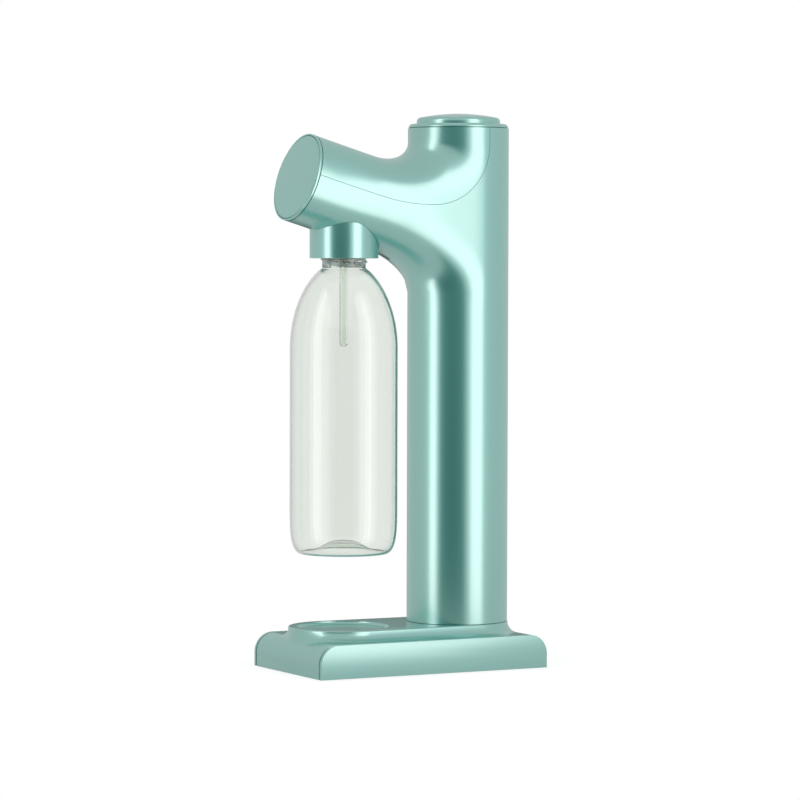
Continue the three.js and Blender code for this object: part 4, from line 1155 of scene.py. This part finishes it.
MOTTLE = make_mottle()
GRAIN = make_grain()


def finish(name, base, drift, scale, grain, roughness, bump, stretch=(1, 1, 1), **shader):
    """A finish with cloudy colour, a grain in its roughness and a fine bump."""
    material, tree, surface = new_material(name, **shader)
    colour = add(tree, "ShaderNodeGroup", node_tree=MOTTLE)
    set_sockets(colour, Base=linear(base), Drift=linear(drift), Scale=scale)
    texture = add(tree, "ShaderNodeGroup", node_tree=GRAIN)
    smoothest, roughest = roughness
    set_sockets(texture, Scale=grain, Stretch=stretch, Smoothest=smoothest, Roughest=roughest)
    relief = add(tree, "ShaderNodeBump")
    set_sockets(relief, Strength=bump, Distance=BUMP_DEPTH)
    link = tree.links.new
    link(colour.outputs["Color"], surface.inputs["Base Color"])
    link(texture.outputs["Roughness"], surface.inputs["Roughness"])
    link(texture.outputs["Height"], relief.inputs["Height"])
    link(relief.outputs["Normal"], surface.inputs["Normal"])
    return material


def clear_wall(name, bending):
    """Clear plastic with the faintest green and a slight ripple."""
    return finish(
        name, "F3F6F2", "F1F4F0", scale=14, grain=60, roughness=(0.0, 0.02), bump=0.05,
        stretch=(1, 1, 0.3), Transmission_Weight=1.0, IOR=bending,
    )


def make_finishes():
    """Every finish by its slot in the record, and the clear one of the tube."""
    return {
        "pearl": finish(
            "pearl_lacquer", "66C1B5", "62BDB1", scale=9, grain=2600, roughness=(0.35, 0.41), bump=0.04,
            Metallic=0.6, Coat_Weight=1.0, Coat_Roughness=0.23, Coat_IOR=3.3,
        ),
        "steel": finish(
            "satin_steel", "C2C5C7", "B4B7BA", scale=30, grain=300, roughness=(0.26, 0.42), bump=0.15,
            stretch=(1, 1, 14), Metallic=1.0,
        ),
        "brass": finish(
            "turned_brass", "C9A765", "B8924C", scale=40, grain=320, roughness=(0.25, 0.4), bump=0.12,
            stretch=(1, 1, 12), Metallic=1.0,
        ),
        "rubber": finish(
            "soft_rubber", "2C2F30", "35393A", scale=60, grain=1500, roughness=(0.75, 0.92), bump=0.35
        ),
        "dark_plastic": finish(
            "dark_moulding", "3A4344", "343C3D", scale=40, grain=1200, roughness=(0.48, 0.62), bump=0.25
        ),
        "pale_plastic": finish(
            "pale_moulding", "D9DEDC", "CFD5D3", scale=40, grain=1200, roughness=(0.38, 0.5), bump=0.15
        ),
        "cylinder_paint": finish(
            "cylinder_enamel", "C9CED0", "BFC5C8", scale=25, grain=900, roughness=(0.3, 0.42), bump=0.12,
            Metallic=0.6, Coat_Weight=0.2,
        ),
        "clear_bottle": clear_wall("clear_wall", 1.4),
        "clear_tube": clear_wall("clear_tube", 1.2),
    }


# Dressing


def dress(piece, material, body, node):
    """Gives a piece its finish and its body, and hides the node that it stands for."""
    piece.data.materials.clear()
    piece.data.materials.append(material)
    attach(piece, body)
    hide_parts(node)


def dress_nodes(finishes):
    """Gives the CAD nodes that stay their slot's finish, or their own clear one."""
    slots = {part["node"]: part["material_slot"] for part in frame["record"]["subparts"]}
    for name, node in frame["nodes"].items():
        if node.hide_render:
            continue
        material = finishes[CLEAR_NODES.get(name, slots[name])]
        for place in node.material_slots:
            place.material = material
        if not node.material_slots:
            node.data.materials.append(material)


def make_pieces(finishes):
    """Builds the finer pieces and dresses them."""
    pearl = finishes["pearl"]
    cover = form_normals(upper_cover(), head_field, HEAD_FOLLOWS, ease=NORMAL_EASE)
    body = form_normals(cut_head(main_shell()), head_field, HEAD_FOLLOWS, ease=NORMAL_EASE)
    shell = form_normals(base_body(), base_field, BASE_FOLLOWS, where=on_base_field)
    housing = {
        "main_body": body,
        "upper_cover": cover,
        "base_body": shell,
        "base_side_plate_left": smooth(side_plate(-1)),
        "base_side_plate_right": smooth(side_plate(1)),
        "arm_end_ring": smooth(arm_end_ring()),
        "arm_end_cap": smooth(arm_end_cap()),
        "top_ring": smooth(top_ring()),
        "bottle_collar": smooth(bottle_collar()),
    }
    for node, piece in housing.items():
        dress(piece, pearl, "housing", node)
    dress(smooth(carbonation_button()), pearl, "button", "carbonation_button")
    dress(smooth(drip_plate()), pearl, "drip_plate", "drip_plate")
    spring = smooth(button_spring(), SHARP_DEGREES_ROUND)
    dress(spring, finishes["steel"], "housing", "button_spring")
    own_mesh(spring)
    clear = smooth(bottle(), SHARP_DEGREES_ROUND)
    clear.visible_shadow = False
    clear.visible_glossy = False
    clear.visible_diffuse = False
    dress(clear, finishes["clear_bottle"], "bottle", "bottle")


# The studio


def maths(tree, operation, *terms):
    """The result of a math node, whose terms are sockets or plain numbers."""
    made = add(tree, "ShaderNodeMath", operation=operation)
    for socket, term in zip(made.inputs, terms):
        if isinstance(term, (int, float)):
            socket.default_value = term
        else:
            tree.links.new(term, socket)
    return made.outputs["Value"]


def seen_share(tree, in_metal):
    """1 where the background is seen, straight or through clear plastic, and less in a reflection."""
    ray = add(tree, "ShaderNodeLightPath").outputs
    seen = maths(tree, "MAXIMUM", ray["Is Camera Ray"], ray["Is Transmission Ray"])
    return maths(tree, "MAXIMUM", seen, maths(tree, "MULTIPLY", ray["Is Glossy Ray"], in_metal))


def make_floor():
    """A plain pale floor, which fades into the backdrop and hides nothing from below."""
    around = [direction(angle) * FLOOR_RADIUS for angle in evenly(FINE, 0, math.tau)[:-1]]
    floor = mesh_object("floor", around, [tuple(range(FINE))])
    material, tree, surface = new_material(
        "floor_white", Base_Color=FLOOR_COLOUR, Roughness=1.0, Specular_IOR_Level=0.0, Emission_Color=WHITE
    )
    glow = maths(tree, "MULTIPLY", seen_share(tree, FLOOR_IN_METAL), FLOOR_GLOW)
    place = add(tree, "ShaderNodeTexCoord")
    reach = add(tree, "ShaderNodeVectorMath", operation="LENGTH")
    fade = add(tree, "ShaderNodeMapRange", interpolation_type="SMOOTHSTEP")
    set_sockets(fade, From_Min=FLOOR_FADES, From_Max=FLOOR_RADIUS, To_Min=1, To_Max=0)
    below = add(tree, "ShaderNodeNewGeometry").outputs["Backfacing"]
    shown = maths(tree, "MULTIPLY", fade.outputs["Result"], maths(tree, "SUBTRACT", 1, below))
    link = tree.links.new
    link(place.outputs["Object"], reach.inputs[0])
    link(reach.outputs["Value"], fade.inputs["Value"])
    link(glow, surface.inputs["Emission Strength"])
    link(shown, surface.inputs["Alpha"])
    floor.data.materials.append(material)


def make_world():
    """A plain world, white where it is seen and softer where it lights."""
    world = bpy.data.worlds.new("studio")
    bpy.context.scene.world = world
    world.use_nodes = True
    tree = world.node_tree
    backdrop = tree.nodes["Background"]
    set_sockets(backdrop, Color=WHITE)
    strength = add(tree, "ShaderNodeMapRange")
    set_sockets(strength, To_Min=WORLD_LIGHT)
    tree.links.new(seen_share(tree, WORLD_IN_METAL), strength.inputs["Value"])
    tree.links.new(strength.outputs["Result"], backdrop.inputs["Strength"])


def make_card(name, first, last, top, level):
    """A curved studio card between two turns from the camera's side, which only reflections show."""
    points = [
        direction(VIEW_AZIMUTH + math.radians(turn)) * CARD_DISTANCE + Vector((0, 0, height))
        for height in (CARD_FOOT, top)
        for turn in evenly(ROWS, first, last)
    ]
    row = ROWS + 1
    card = mesh_object(name, points, [(k, k + 1, k + 1 + row, k + row) for k in range(ROWS)])
    material, _, _ = new_material(
        name, Base_Color=BLACK, Specular_IOR_Level=0.0, Emission_Color=WHITE, Emission_Strength=level
    )
    card.data.materials.append(material)
    card.visible_camera = False
    card.visible_transmission = False
    card.visible_diffuse = False
    card.visible_shadow = False


def make_softbox(name, turn, width, height, watts):
    """A tall soft lamp, turned round the object from the camera's side."""
    data = bpy.data.lights.new(name, "AREA")
    data.shape = "RECTANGLE"
    data.size = width
    data.size_y = height
    data.energy = watts
    lamp = bpy.data.objects.new(name, data)
    bpy.context.scene.collection.objects.link(lamp)
    away = direction(VIEW_AZIMUTH + math.radians(turn))
    lamp.location = away * LIGHT_DISTANCE + Vector((0, 0, LIGHT_HEIGHT))
    lamp.rotation_euler = away.to_track_quat("Z", "Y").to_euler()


def make_studio():
    """Floor, world, cards and lamps."""
    make_floor()
    make_world()
    make_card("dark_card", first=-41, last=19, top=0.75, level=0.0)
    make_card("grey_card", first=168, last=192, top=0.4, level=0.08)
    make_softbox("right_softbox", turn=45, width=1.0, height=3.8, watts=19)
    make_softbox("left_softbox", turn=-57, width=0.6, height=3.6, watts=12.5)


def main():
    """Builds everything."""
    make_camera()
    finishes = make_finishes()
    make_pieces(finishes)
    dress_nodes(finishes)
    make_studio()
    bpy.context.scene.view_settings.view_transform = "Standard"


main()
